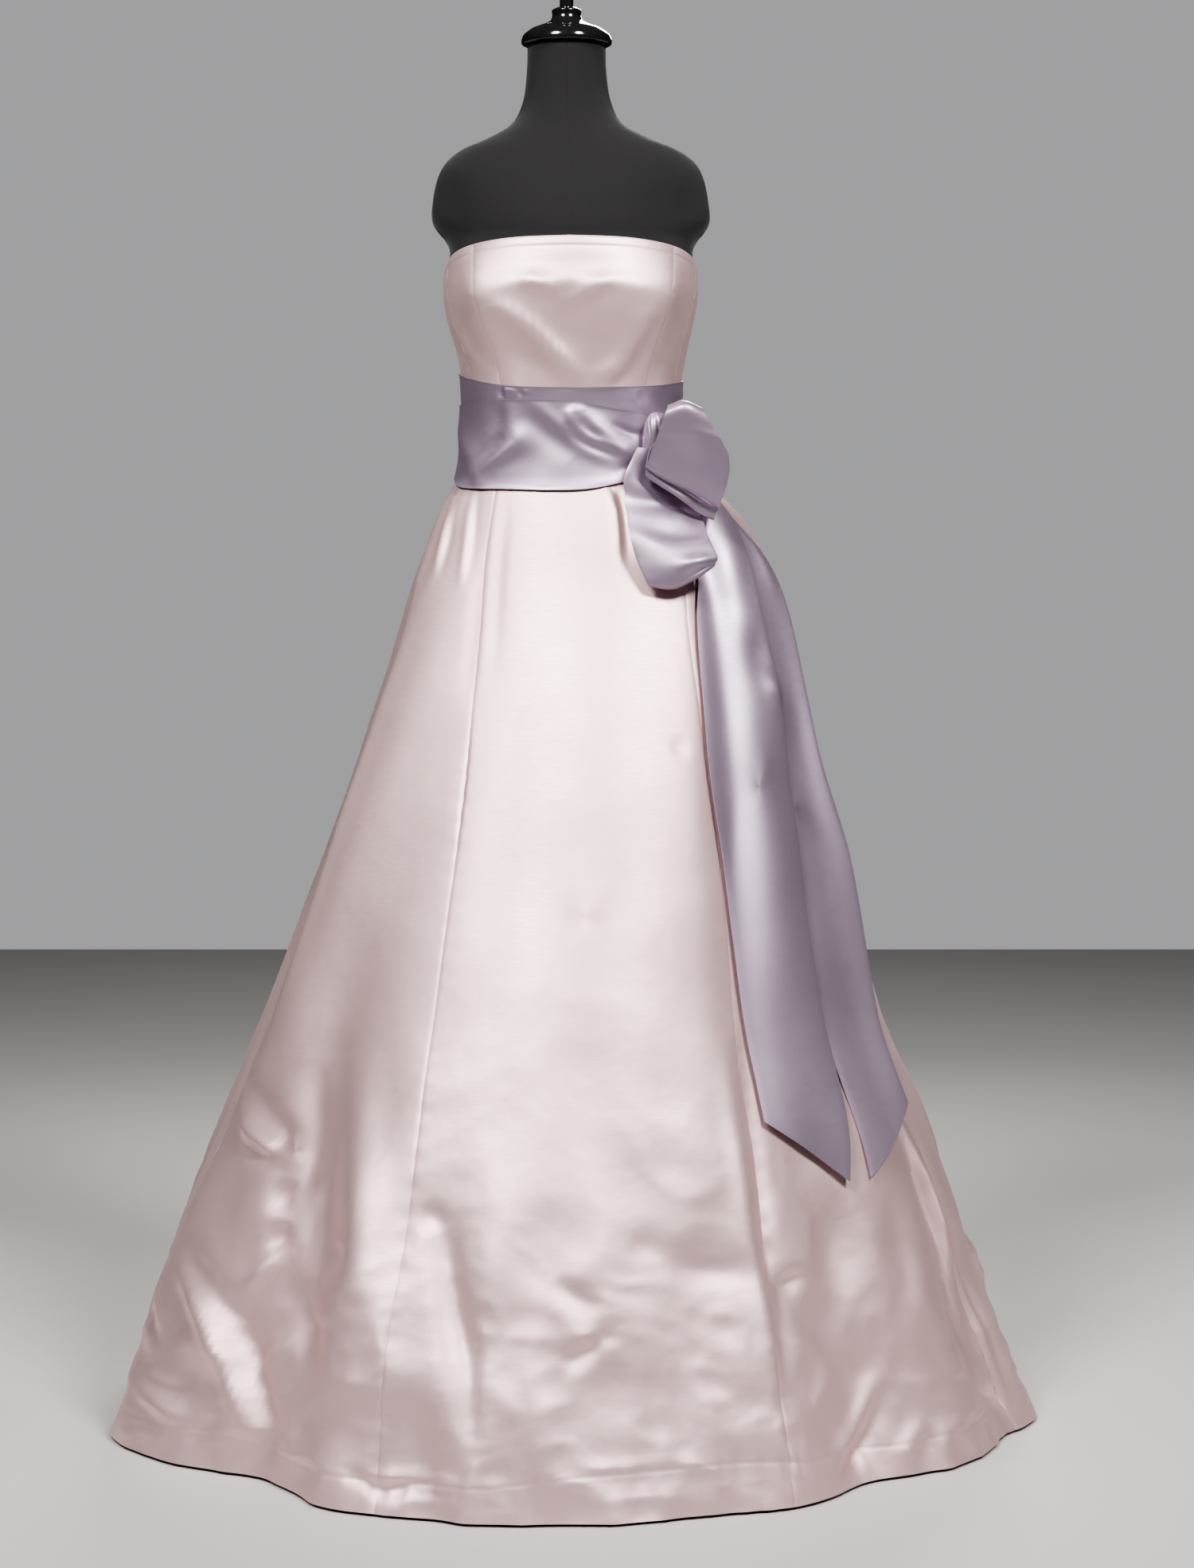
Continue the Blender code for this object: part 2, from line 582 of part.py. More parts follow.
# The dress form: its body follows the gown where the gown covers it
BODY_TOP = 1.350
BODY_BOTTOM = 1.076
FORM_SECTIONS = (
    Section(0.800, -0.138, 0.146, 0.098, 0.108),
    Section(0.812, -0.150, 0.158, 0.106, 0.120),
    Section(0.850, -0.158, 0.165, 0.112, 0.134),
    Section(0.900, -0.161, 0.168, 0.117, 0.142),
    Section(0.950, -0.156, 0.164, 0.117, 0.137),
    Section(1.000, -0.144, 0.153, 0.112, 0.122),
    Section(1.045, -0.130, 0.139, 0.104, 0.103),
    Section(1.076, -0.1236, 0.1350, 0.1000, 0.0930),
    Section(1.350, -0.1311, 0.1421, 0.1031, 0.0951),
    Section(1.385, -0.136, 0.145, 0.095, 0.096),
    Section(1.420, -0.143, 0.152, 0.081, 0.091),
    Section(1.438, -0.138, 0.147, 0.073, 0.087),
    Section(1.452, -0.121, 0.128, 0.067, 0.082),
    Section(1.464, -0.093, 0.098, 0.062, 0.077),
    Section(1.480, -0.065, 0.067, 0.057, 0.069),
    Section(1.505, -0.051, 0.052, 0.052, 0.058),
    Section(1.540, -0.046, 0.046, 0.048, 0.050),
    Section(1.5711, -0.045, 0.045, 0.046, 0.047),
)
FORM_COLUMNS = columns(FORM_SECTIONS, "height", "left", "right", "front", "back")
FORM_ROWS = (
    0.800, 0.812, 0.850, 0.920, 0.985, 1.040, 1.076, 1.100, 1.1265, 1.155, 1.185, 1.215,
    1.240, 1.262, 1.285, 1.305, 1.325, 1.345, 1.365, 1.390, 1.418, 1.438, 1.452, 1.464,
    1.480, 1.505, 1.5711,
)
FORM_COLUMN_COUNT = 36
# The form's bust stands back from the gown's cups by this share of their depth
FORM_CUP_EASE = 0.15
# The arm plates stand out at each side, above the side of the bodice
ARM_RISE = 0.022
ARM_FROM = 1.330
ARM_FULL = 1.370
ARM_TO = 1.445
ARM_WIDTH = 18.0


def arm_rise(angle, height):
    share = smooth_step((height - ARM_FROM) / (ARM_FULL - ARM_FROM))
    share *= smooth_step((ARM_TO - height) / (ARM_TO - ARM_FULL))
    side = min(abs(turn(angle, 90.0)), abs(turn(angle, -90.0)))
    return ARM_RISE * share * math.exp(-((side / ARM_WIDTH) ** 2))


def form_point(angle, height):
    inset = BODICE_CLOTH + FORM_CLEARANCE
    if BODY_BOTTOM <= height <= BODY_TOP:
        x, y, z = gown_point(angle, height, -inset - FORM_CUP_EASE * max(cup_depth(angle, height), 0.0))
    else:
        left, right, front, back = (through(FORM_COLUMNS[0], column, height) for column in FORM_COLUMNS[1:])
        sine = math.sin(math.radians(angle))
        cosine = math.cos(math.radians(angle))
        x = (left + right) / 2 + (right - left) / 2 * sine
        y = -(front if cosine > 0 else back) * cosine
        z = height
    rise = arm_rise(angle, height)
    return (
        x + rise * math.sin(math.radians(angle)),
        y - rise * math.cos(math.radians(angle)),
        z,
    )


def build_torso():
    mesh = bmesh.new()
    rings = [
        [mesh.verts.new(form_point(360.0 * j / FORM_COLUMN_COUNT, height)) for j in range(FORM_COLUMN_COUNT)]
        for height in FORM_ROWS
    ]
    for lower, upper in zip(rings[:-1], rings[1:]):
        for j in range(FORM_COLUMN_COUNT):
            k = (j + 1) % FORM_COLUMN_COUNT
            mesh.faces.new([lower[j], lower[k], upper[k], upper[j]])
    mesh.faces.new(rings[0][::-1])
    mesh.faces.new(rings[-1])
    add_object("form_torso", mesh, black_jersey, smooth_angle=60.0)


# Turned pieces of the form, as (radius, height) profiles from the bottom up
CAP_BOTTOM = 1.5714
CAP_PROFILE = (
    (0.0, CAP_BOTTOM), (0.0500, CAP_BOTTOM), (0.0520, 1.5734), (0.0520, 1.5774), (0.0495, 1.5830),
    (0.0400, 1.5900), (0.0280, 1.5945), (0.0190, 1.5990), (0.0165, 1.6050), (0.0170, 1.6110),
    (0.0120, 1.6140), (0.0, 1.6140),
)
FINIAL_BOTTOM = 1.6143
FINIAL_PROFILE = (
    (0.0, FINIAL_BOTTOM), (0.0080, FINIAL_BOTTOM), (0.0080, 1.6300), (0.0110, 1.6335), (0.0150, 1.6390),
    (0.0165, 1.6460), (0.0150, 1.6530), (0.0100, 1.6590), (0.0, 1.6610),
)
BASE_RADIUS = 0.205
POLE_RADIUS = 0.0125
POLE_BOTTOM = 0.0343
BASE_PROFILE = (
    (0.0, 0.0), (0.2020, 0.0), (BASE_RADIUS, 0.0040), (BASE_RADIUS, 0.0120), (0.2000, 0.0160),
    (0.1200, 0.0210), (0.0400, 0.0260), (0.0220, 0.0340), (0.0, 0.0340),
)
POLE_PROFILE = (
    (0.0, POLE_BOTTOM), (POLE_RADIUS, POLE_BOTTOM), (POLE_RADIUS, 0.7997), (0.0, 0.7997),
)


def turned(name, profile, surface, segments=32):
    mesh = bmesh.new()
    rings = []
    for radius, height in profile:
        if radius == 0.0:
            rings.append([mesh.verts.new((0.0, 0.0, height))])
            continue
        ring = []
        for j in range(segments):
            angle = math.tau * j / segments
            ring.append(mesh.verts.new((radius * math.cos(angle), radius * math.sin(angle), height)))
        rings.append(ring)
    for lower, upper in zip(rings[:-1], rings[1:]):
        for j in range(segments):
            k = (j + 1) % segments
            below = [lower[j % len(lower)], lower[k % len(lower)]]
            above = [upper[k % len(upper)], upper[j % len(upper)]]
            mesh.faces.new(list(dict.fromkeys(below + above)))
    add_object(name, mesh, surface, smooth_angle=35.0)


for leftover in list(bpy.data.objects):
    bpy.data.objects.remove(leftover, do_unlink=True)

dress = bpy.data.collections.new("wedding_dress")
bpy.context.scene.collection.children.link(dress)

ivory_satin = material("ivory_satin", (0.78, 0.70, 0.69), 0.38)
lavender_satin = material("lavender_satin", (0.36, 0.33, 0.46), 0.35)
black_jersey = material("black_jersey", (0.010, 0.009, 0.010), 0.85)
gloss_black = material("gloss_black", (0.008, 0.008, 0.009), 0.12)
black_iron = material("black_iron", (0.02, 0.02, 0.021), 0.45, 0.6)

build_gown()
build_plackets()
sash_wrap("sash_upper_wrap", "upper_top", "upper_bottom", UPPER_WRAP_OUT, 2, ridged=False)
sash_wrap("sash_lower_wrap", "lower_top", "lower_bottom", LOWER_WRAP_OUT, 5, ridged=True)
build_knot()
ribbon("bow_loop_upper", UPPER_LOOP, 28, 6, LOOP_CLOTH)
ribbon("bow_loop_lower", LOWER_LOOP, 24, 6, LOOP_CLOTH)
ribbon("sash_tail_front", FRONT_TAIL, 22, 4, TAIL_CLOTH)
ribbon("sash_tail_back", BACK_TAIL, 22, 4, TAIL_CLOTH)
build_torso()
turned("form_neck_cap", CAP_PROFILE, gloss_black, segments=24)
turned("form_finial", FINIAL_PROFILE, gloss_black, segments=16)
turned("form_pole", POLE_PROFILE, black_iron, segments=16)
turned("form_base", BASE_PROFILE, black_iron, segments=36)
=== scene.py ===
import math
from collections import namedtuple

import bpy
import numpy as np
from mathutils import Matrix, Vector


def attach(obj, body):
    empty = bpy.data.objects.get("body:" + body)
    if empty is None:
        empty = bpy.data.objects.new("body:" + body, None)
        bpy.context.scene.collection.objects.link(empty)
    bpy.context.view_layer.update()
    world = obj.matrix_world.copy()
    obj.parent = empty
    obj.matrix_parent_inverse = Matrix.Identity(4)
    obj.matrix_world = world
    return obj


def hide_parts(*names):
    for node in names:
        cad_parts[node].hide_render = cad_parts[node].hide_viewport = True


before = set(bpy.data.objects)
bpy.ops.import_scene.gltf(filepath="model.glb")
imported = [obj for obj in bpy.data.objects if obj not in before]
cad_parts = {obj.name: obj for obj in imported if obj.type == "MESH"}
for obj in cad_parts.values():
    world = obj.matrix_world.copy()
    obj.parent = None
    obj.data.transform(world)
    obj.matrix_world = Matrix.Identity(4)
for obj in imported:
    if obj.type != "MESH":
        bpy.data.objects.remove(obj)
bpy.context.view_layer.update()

print("frame loaded:", len(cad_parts), "nodes")

# Places on the gown are an angle round it in degrees and a height in metres.
# Angle 0 is the centre front, and 90 is the wearer's left side.
gown = {
    "hemHeight": 0.003,
    "waistSeam": 1.1265,
    "seamGap": 0.0002,
    "foldsBegin": 1.075,
    "foldsBlend": 0.050,
    "bodiceCloth": 0.0014,
    "skirtCloth": 0.0013,
    "stitchDepth": 0.00035,    # how far a seam draws the cloth in
    "stitchWidth": 0.0020,
    "seamPucker": 0.00022,
    "puckerLength": 0.023,
    "puckerWidth": 0.011,
}


def rowsOf(kind, *rows):
    return tuple(kind(*row) for row in rows)


Section = namedtuple("Section", "height left right front back")
gownSections = rowsOf(
    Section,
    (1.35, -0.134, 0.145, 0.106, 0.098),
    (1.32, -0.14, 0.15, 0.113, 0.099),
    (1.285, -0.143, 0.152, 0.117, 0.098),
    (1.255, -0.1385, 0.147, 0.113, 0.095),
    (1.22, -0.128, 0.139, 0.105, 0.091),
    (1.18, -0.1215, 0.1325, 0.0985, 0.088),
    (1.1265, -0.1205, 0.1315, 0.0965, 0.087),
    (1.076, -0.1265, 0.145, 0.103, 0.096),
    (1.05, -0.141, 0.183, 0.112, 0.11),
    (1.002, -0.161, 0.218, 0.134, 0.138),
    (0.947, -0.181, 0.245, 0.161, 0.164),
    (0.845, -0.214, 0.271, 0.208, 0.213),
    (0.705, -0.263, 0.301, 0.27, 0.28),
    (0.565, -0.316, 0.335, 0.33, 0.345),
    (0.452, -0.359, 0.365, 0.378, 0.398),
    (0.339, -0.407, 0.414, 0.427, 0.45),
    (0.226, -0.452, 0.453, 0.474, 0.502),
    (0.112, -0.489, 0.491, 0.518, 0.552),
    (0, -0.521, 0.537, 0.557, 0.6),
)

# The large folds of the skirt, the same as the frame's
Fold = namedtuple("Fold", "highAngle lowAngle highWidth lowWidth highDepth lowDepth high low")
skirtFolds = rowsOf(
    Fold,
    (-6, -7, 14, 13, 0, 0.014, 0.5, 0),
    (-30, -27, 9, 8, 0, 0.01, 0.7, 0.1),
    (-40, -42, 9, 9, 0, -0.032, 0.6, 0),
    (-62, -66, 11, 11, 0, 0.024, 0.62, 0),
    (-88, -84, 8, 7, 0, -0.02, 0.98, 0.2),
    (16, 17, 8, 8, 0, -0.008, 0.5, 0),
    (30, 29, 7, 7, 0, 0.008, 0.4, 0),
    (42, 40, 8, 8, 0, -0.034, 0.55, 0),
    (60, 57, 8, 8, 0, 0.008, 0.6, 0.1),
    (70, 66, 6, 5, 0, -0.012, 0.45, 0.05),
    (78, 75, 7, 6, 0, 0.014, 0.6, 0.05),
    (38, 31, 6, 5, -0.011, -0.006, 1.02, 0.2),
    (-62, -60, 5, 5, 0.004, 0, 1.04, 0.9),
    (-76, -74, 5, 5, 0.004, 0, 1.04, 0.86),
    (100, 104, 9, 8, 0.006, 0.016, 1, 0.1),
    (116, 120, 8, 8, -0.003, -0.018, 1, 0.1),
    (131, 136, 8, 8, 0.006, 0.02, 1, 0.1),
    (150, 154, 9, 8, -0.003, -0.018, 1, 0.1),
    (168, 170, 8, 8, 0.004, 0.016, 1, 0.1),
    (-170, -171, 8, 8, -0.003, -0.01, 1, 0.1),
    (-155, -156, 8, 8, 0.005, 0.02, 1, 0.1),
    (-137, -138, 8, 8, -0.003, -0.018, 1, 0.1),
    (-120, -121, 8, 8, 0.005, 0.019, 1, 0.1),
    (-103, -104, 7, 7, 0.003, 0.012, 1, 0.1),
)

Cup = namedtuple("Cup", "angle height width tall depth")
cups = rowsOf(
    Cup,
    (-38, 1.268, 22, 0.05, 0.011),
    (36, 1.268, 22, 0.05, 0.011),
    (0, 1.245, 14, 0.04, -0.003),
)

Seam = namedtuple("Seam", "height leftFront leftSide leftBack rightFront rightSide rightBack")
seams = rowsOf(
    Seam,
    (1.345, 57, 80, 140, -53, -78, -140),
    (1.28, 47, 74, 140, -43, -72, -140),
    (1.18, 42, 66, 140, -39, -64, -140),
    (1.1265, 40, 66, 140, -40, -64, -140),
    (1, 31, 74, 142, -38, -72, -142),
    (0.9, 28, 72, 143, -34, -71, -143),
    (0.65, 32, 70, 144, -27, -69, -144),
    (0.3, 29.5, 69, 145, -22.5, -68, -145),
    (0, 26, 70, 145, -22, -70, -145),
)

Edge = namedtuple("Edge", "angle height")
neckEdge = rowsOf(
    Edge,
    (0, 1.345),
    (30, 1.343),
    (57, 1.336),
    (75, 1.327),
    (90, 1.312),
    (120, 1.292),
    (180, 1.29),
)

# Height of the hem's stitching round the skirt
hemStitch = rowsOf(
    Edge,
    (-180, 0.04),
    (-66, 0.037),
    (-48, 0.04),
    (-42, 0.034),
    (-10, 0.036),
    (-4, 0.042),
    (4, 0.048),
    (23, 0.049),
    (38, 0.034),
    (66, 0.038),
    (180, 0.04),
)

# A crease follows a path of (angle, height). A ridge is the same on both sides of its path, and a
# fold stands up on the right of a path that runs down, and sinks on its left.
Crease = namedtuple("Crease", "path width depth kind", defaults=["ridge"])
frontCreases = rowsOf(
    Crease,
    (((-64.5, 0.391), (-51.9, 0.355), (-51.2, 0.331)), 0.015, -0.0092),
    (((-62.8, 0.362), (-52, 0.33)), 0.01, 0.0084),
    (((-60.4, 0.334), (-50.6, 0.321)), 0.01, -0.007),
    (((-48, 0.305), (-47.6, 0.27)), 0.013, -0.008),
    (((-46.2, 0.262), (-46.3, 0.232)), 0.012, -0.0074),
    (((-45.6, 0.231), (-49.4, 0.19)), 0.0095, 0.0082),
    (((-64.7, 0.202), (-54.2, 0.151), (-48.8, 0.095), (-44.4, 0.039)), 0.012, 0.0104),
    (((-64.5, 0.222), (-51, 0.165), (-44.8, 0.1), (-40, 0.05)), 0.016, -0.0109),
    (((-43.8, 0.199), (-36.1, 0.164), (-31.4, 0.121)), 0.022, -0.0087),
    (((-34.4, 0.103), (-39.6, 0.025)), 0.008, 0.0041),
    (((-47.1, 0.438), (-42.3, 0.346), (-43.5, 0.283)), 0.02, 0.004, "fold"),
    (((-39.8, 0.45), (-28.4, 0.27), (-21.9, 0.138)), 0.034, 0.0087),
    (((-17, 0.28), (-14.2, 0.208), (-11.9, 0.149), (-10.1, 0.06)), 0.015, -0.011),
    (((-21, 0.29), (-16.9, 0.292)), 0.013, -0.0043),
    (((-35.6, 0.239), (-30.3, 0.243)), 0.013, -0.0046),
    (((-65, 0.073), (-54, 0.072)), 0.011, -0.0062),
    (((-66, 0.07), (-54.4, 0.047)), 0.009, 0.0056),
    (((-72, 0.14), (-63, 0.116)), 0.009, -0.0046),
    (((-40, 0.15), (-44, 0.118), (-45, 0.09)), 0.01, 0.005),
    (((-14.6, 0.024), (-13.3, 0.048)), 0.006, 0.0026),
    (((-26, 0.043), (-21.3, 0.026), (-16.1, 0.04)), 0.008, -0.0042),
    (((-1.3, 0.232), (4.8, 0.203)), 0.012, -0.0074),
    (((0.2, 0.15), (6.3, 0.187)), 0.011, -0.0074),
    (((1.2, 0.182), (7, 0.166)), 0.01, 0.0036),
    (((8.8, 0.271), (19, 0.238), (28.1, 0.229)), 0.024, -0.0067),
    (((30.3, 0.47), (27.9, 0.309), (28.3, 0.206), (28.1, 0.1)), 0.017, -0.0055, "fold"),
    (((35.6, 0.222), (29.5, 0.206)), 0.011, -0.007),
    (((46.4, 0.112), (39.7, 0.055), (34.6, 0.038)), 0.012, 0.008),
    (((45, 0.082), (38.6, 0.03), (33.6, 0.014)), 0.011, -0.0065),
    (((50.2, 0.056), (44.9, 0.02)), 0.01, 0.0052),
    (((65, 0.42), (67.2, 0.286), (67.6, 0.193), (65.9, 0.06)), 0.012, 0.0072, "fold"),
    (((70.5, 0.36), (70, 0.269), (71.4, 0.158), (71.6, 0.02)), 0.012, -0.0072, "fold"),
    (((65.7, 0.052), (71.2, 0.028)), 0.008, -0.0043),
    (((12, 0.092), (10.2, 0.008)), 0.006, 0.0023),
    (((20.1, 0.776), (25.3, 0.773)), 0.006, -0.0022),
    (((-71, 0.96), (-70, 0.75), (-69.5, 0.62), (-68, 0.4)), 0.026, 0.0065, "fold"),
    (((-66.7, 1.062), (-60.5, 1.01), (-56.5, 0.96)), 0.008, -0.0022, "fold"),
    (((-52.1, 1.062), (-46, 1), (-43, 0.95)), 0.008, -0.0018, "fold"),
    (((-33.9, 1.06), (-31.2, 0.966), (-27, 0.85)), 0.009, -0.0017),
    (((-43.1, 1.06), (-37.4, 0.955), (-33.6, 0.83)), 0.009, -0.0015),
    (((12.9, 1.068), (11.6, 1.025), (9.1, 0.975)), 0.006, -0.004, "fold"),
    (((21, 1.07), (17.6, 1.02), (15.6, 0.975)), 0.007, 0.003),
    (((-20.4, 0.9), (-17.6, 0.7), (-15.1, 0.47)), 0.045, -0.0034),
    (((8, 0.9), (7, 0.64), (6, 0.4)), 0.06, 0.003),
    (((56, 0.3), (54, 0.21), (50, 0.15)), 0.022, -0.0072),
    (((-8.6, 0.14), (-5.2, 0.098)), 0.014, 0.0038),
    (((-41, 0.6), (-41, 0.44), (-36.5, 0.3), (-32.5, 0.19), (-33.5, 0.05)), 0.046, 0.006, "fold"),
    (((-52, 1), (-56, 0.8), (-58, 0.6), (-58, 0.42)), 0.06, 0.012),
    (((18, 0.15), (23, 0.09)), 0.02, -0.0049),
)
backCreases = rowsOf(
    Crease,
    (((100, 0.42), (108, 0.33), (113, 0.22)), 0.018, -0.0055),
    (((92, 0.19), (99, 0.13), (108, 0.05)), 0.014, 0.0075),
    (((124, 0.3), (130, 0.23), (131, 0.15)), 0.016, 0.005),
    (((139, 0.18), (147, 0.12), (151, 0.04)), 0.016, -0.006),
    (((160, 0.4), (165, 0.3), (163, 0.18)), 0.02, 0.005),
    (((171, 0.15), (176, 0.11)), 0.012, -0.0035),
    (((-176, 0.33), (-170, 0.24), (-171, 0.13)), 0.02, -0.005),
    (((-162, 0.21), (-153, 0.13), (-148, 0.04)), 0.015, 0.007),
    (((-146, 0.39), (-139, 0.31), (-140, 0.22)), 0.018, -0.005),
    (((-128, 0.2), (-121, 0.15)), 0.013, -0.004),
    (((-112, 0.33), (-105, 0.23), (-108, 0.11)), 0.017, 0.0055),
    (((-95, 0.18), (-89, 0.11), (-84, 0.05)), 0.014, 0.006),
    (((112, 1.066), (109, 1), (106, 0.94)), 0.007, -0.0028, "fold"),
    (((152, 1.066), (154, 0.99), (155, 0.93)), 0.007, 0.0028, "fold"),
    (((-112, 1.066), (-109, 1), (-107, 0.93)), 0.007, 0.0028, "fold"),
    (((-152, 1.066), (-154, 0.99), (-156, 0.93)), 0.007, -0.0028, "fold"),
    (((84, 0.42), (82.5, 0.3), (84, 0.18)), 0.016, -0.005),
)
bodiceCreases = rowsOf(
    Crease,
    (((-33.9, 1.272), (-20.2, 1.245), (-7.4, 1.211), (4.4, 1.18)), 0.011, 0.0085),
    (((35.6, 1.265), (26.5, 1.208), (14.1, 1.18)), 0.011, 0.0078),
    (((-19.5, 1.303), (-5.5, 1.276)), 0.0085, 0.0048),
    (((-19, 1.29), (-5.5, 1.263)), 0.0065, -0.0012),
    (((16.5, 1.3), (-1.5, 1.262)), 0.009, 0.0054),
    (((15.4, 1.286), (-3.2, 1.247)), 0.0065, -0.0012),
    (((-44, 1.286), (-20, 1.293), (0, 1.294), (20, 1.293), (44, 1.286)), 0.012, 0.0034),
    (((-30, 1.22), (-12, 1.192)), 0.014, -0.0022),
    (((34, 1.23), (26, 1.195)), 0.012, -0.0019),
    (((-66, 1.25), (-58, 1.205)), 0.01, 0.0019),
    (((62, 1.245), (56, 1.205)), 0.01, 0.0019),
    (((-48, 1.335), (-43, 1.28), (-40.5, 1.215)), 0.02, 0.0038),
    (((52, 1.335), (47, 1.28), (43.5, 1.215)), 0.02, 0.0038),
    (((112, 1.24), (120, 1.21)), 0.011, 0.0022),
    (((-112, 1.24), (-121, 1.208)), 0.011, 0.0022),
)


def smoothStep(value):
    value = np.clip(value, 0.0, 1.0)
    return value * value * (3.0 - 2.0 * value)


def bell(distance, width):
    return np.exp(-((distance / width) ** 2))


def turn(first, second):
    return (first - second + 180.0) % 360.0 - 180.0


def smoothCurve(places, values, at):
    # a smooth curve through values at rising places; the values may be rows of several numbers
    places = np.asarray(places, dtype=float)
    values = np.asarray(values, dtype=float)
    at = np.clip(np.asarray(at, dtype=float), places[0], places[-1])
    last = len(places) - 1
    low = np.maximum(np.arange(last + 1) - 1, 0)
    high = np.minimum(np.arange(last + 1) + 1, last)
    extra = (1,) * (values.ndim - 1)
    slopes = (values[high] - values[low]) / (places[high] - places[low]).reshape((-1, *extra))
    index = np.clip(np.searchsorted(places, at, side="right") - 1, 0, last - 1)
    span = (places[index + 1] - places[index]).reshape((*at.shape, *extra))
    t = (at - places[index]).reshape((*at.shape, *extra)) / span
    return (
        (2 * t**3 - 3 * t**2 + 1) * values[index]
        + (t**3 - 2 * t**2 + t) * span * slopes[index]
        + (3 * t**2 - 2 * t**3) * values[index + 1]
        + (t**3 - t**2) * span * slopes[index + 1]
    )


def column(rows, name, places="height"):
    ordered = sorted(rows, key=lambda row: getattr(row, places))
    return [getattr(row, places) for row in ordered], [getattr(row, name) for row in ordered]


def sectionAt(sections, height):
    return [smoothCurve(*column(sections, name), height) for name in ("left", "right", "front", "back")]


def foldRise(angle, height):
    rise = np.zeros(np.broadcast(angle, height).shape)
    for fold in skirtFolds:
        share = smoothStep((fold.high - height) / (fold.high - fold.low))
        centre = fold.highAngle + (fold.lowAngle - fold.highAngle) * share
        width = fold.highWidth + (fold.lowWidth - fold.highWidth) * share
        depth = fold.highDepth + (fold.lowDepth - fold.highDepth) * share
        rise += depth * bell(turn(angle, centre), width)
    return rise * smoothStep((gown["foldsBegin"] - height) / gown["foldsBlend"])


def cupRise(angle, height):
    return sum(
        cup.depth * bell(turn(angle, cup.angle), cup.width) * bell(height - cup.height, cup.tall)
        for cup in cups
    )


def ringPoint(angle, height, size, rise):
    left, right, front, back = size
    sine = np.sin(np.radians(angle))
    cosine = np.cos(np.radians(angle))
    depth = np.where(cosine > 0, front, back)
    x = (left + right) / 2 + (right - left) / 2 * sine + rise * sine
    y = -depth * cosine - rise * cosine
    return np.stack([x, y, height + 0.0 * x], axis=-1)


def gownPoint(angle, height, out=0.0):
    angle, height = np.broadcast_arrays(np.asarray(angle, float), np.asarray(height, float))
    rise = np.where(height < gown["waistSeam"], foldRise(angle, height), cupRise(angle, height))
    return ringPoint(angle, height, sectionAt(gownSections, height), rise + out)


def metresPerDegree(height):
    left, right, front, back = sectionAt(gownSections, height)
    return np.radians((right - left + front + back) / 4)


def seamAngle(name, height):
    if name == "centreBackLeft":
        return 180.0 + 0.0 * height
    if name == "centreBackRight":
        return -180.0 + 0.0 * height
    return smoothCurve(*column(seams, name), height)


def neckHeight(angle):
    return smoothCurve(*column(neckEdge, "height", "angle"), np.abs(turn(angle, 0.0)))


creaseSteps = 8      # straight steps along a crease's smooth path
creaseReach = 3.0    # widths off its path where a crease has died away
foldLift = 2.3       # brings the crest of a fold to its full depth
ridgeEnds = 0.03     # leaves a little of a ridge's depth at its ends


def creaseRise(creases, angle, height):
    angle, height = np.broadcast_arrays(np.asarray(angle, float), np.asarray(height, float))
    scale = metresPerDegree(height)
    total = np.zeros(angle.shape)
    for crease in creases:
        path = np.array(crease.path)
        line = smoothCurve(np.arange(len(path)), path, np.linspace(0, len(path) - 1, creaseSteps + 1))
        reach = creaseReach * crease.width
        low, high = line.min(axis=0), line.max(axis=0)
        near = (height > low[1] - reach) & (height < high[1] + reach)
        near &= np.abs(turn(angle, (low[0] + high[0]) / 2)) < (high[0] - low[0]) / 2 + reach / scale
        if not near.any():
            continue
        a, h, m = angle[near], height[near], scale[near]
        nearest = np.full(a.shape, np.inf)
        side = np.zeros(a.shape)
        along = np.zeros(a.shape)
        for k in range(creaseSteps):
            across = turn(line[k + 1, 0], line[k, 0]) * m
            up = line[k + 1, 1] - line[k, 1]
            u = turn(a, line[k, 0]) * m
            v = h - line[k, 1]
            share = np.clip((u * across + v * up) / (across**2 + up**2), 0.0, 1.0)
            distance = np.hypot(u - across * share, v - up * share)
            closer = distance < nearest
            nearest = np.where(closer, distance, nearest)
            side = np.where(closer, np.sign(across * v - up * u), side)
            along = np.where(closer, (k + share) / creaseSteps, along)
        profile = bell(nearest, crease.width)
        margin = ridgeEnds
        if crease.kind == "fold":
            profile = profile * side * nearest / crease.width * foldLift
            margin = 0.0
        fade = np.sin(math.pi * (margin + (1.0 - 2.0 * margin) * along)) ** 0.8
        total[near] += crease.depth * profile * fade
    return total


def softDents(angle, height, seed, shortest, longest, waves=14):
    # a smooth uneven surface from a few long waves, the same on each run
    dice = np.random.default_rng(seed)
    radius = np.degrees(metresPerDegree(height))
    u = radius * np.sin(np.radians(angle))
    v = radius * np.cos(np.radians(angle))
    total = np.zeros(np.broadcast(angle, height).shape)
    for _ in range(waves):
        way = dice.normal(size=3)
        way = way / np.linalg.norm(way) * 2 * math.pi / dice.uniform(shortest, longest)
        total += np.sin(way[0] * u + way[1] * v + way[2] * height + dice.uniform(0, 6.28))
    return total / waves**0.5


def latticeNoise(points, size, seed, cells=32):
    # smooth noise from 0 to 1 on a lattice of random values, the same on each run
    table = np.random.default_rng(seed).random((cells, cells, cells))
    place = points / size
    cell = np.floor(place).astype(int)
    part = smoothStep(place - cell)
    total = np.zeros(points.shape[:-1])
    for corner in np.ndindex(2, 2, 2):
        weight = np.prod(np.where(corner, part, 1.0 - part), axis=-1)
        total += weight * table[tuple(np.moveaxis((cell + corner) % cells, -1, 0))]
    return total


crumple = {
    "bendSize": 1.9,      # length of the bends in the creases, in crumples
    "bendReach": 1.2,
    "smallSize": 0.47,    # smaller creases among the large ones
    "smallDepth": 0.35,
    "middle": 0.20,       # keeps the crumpled cloth about where it was
}


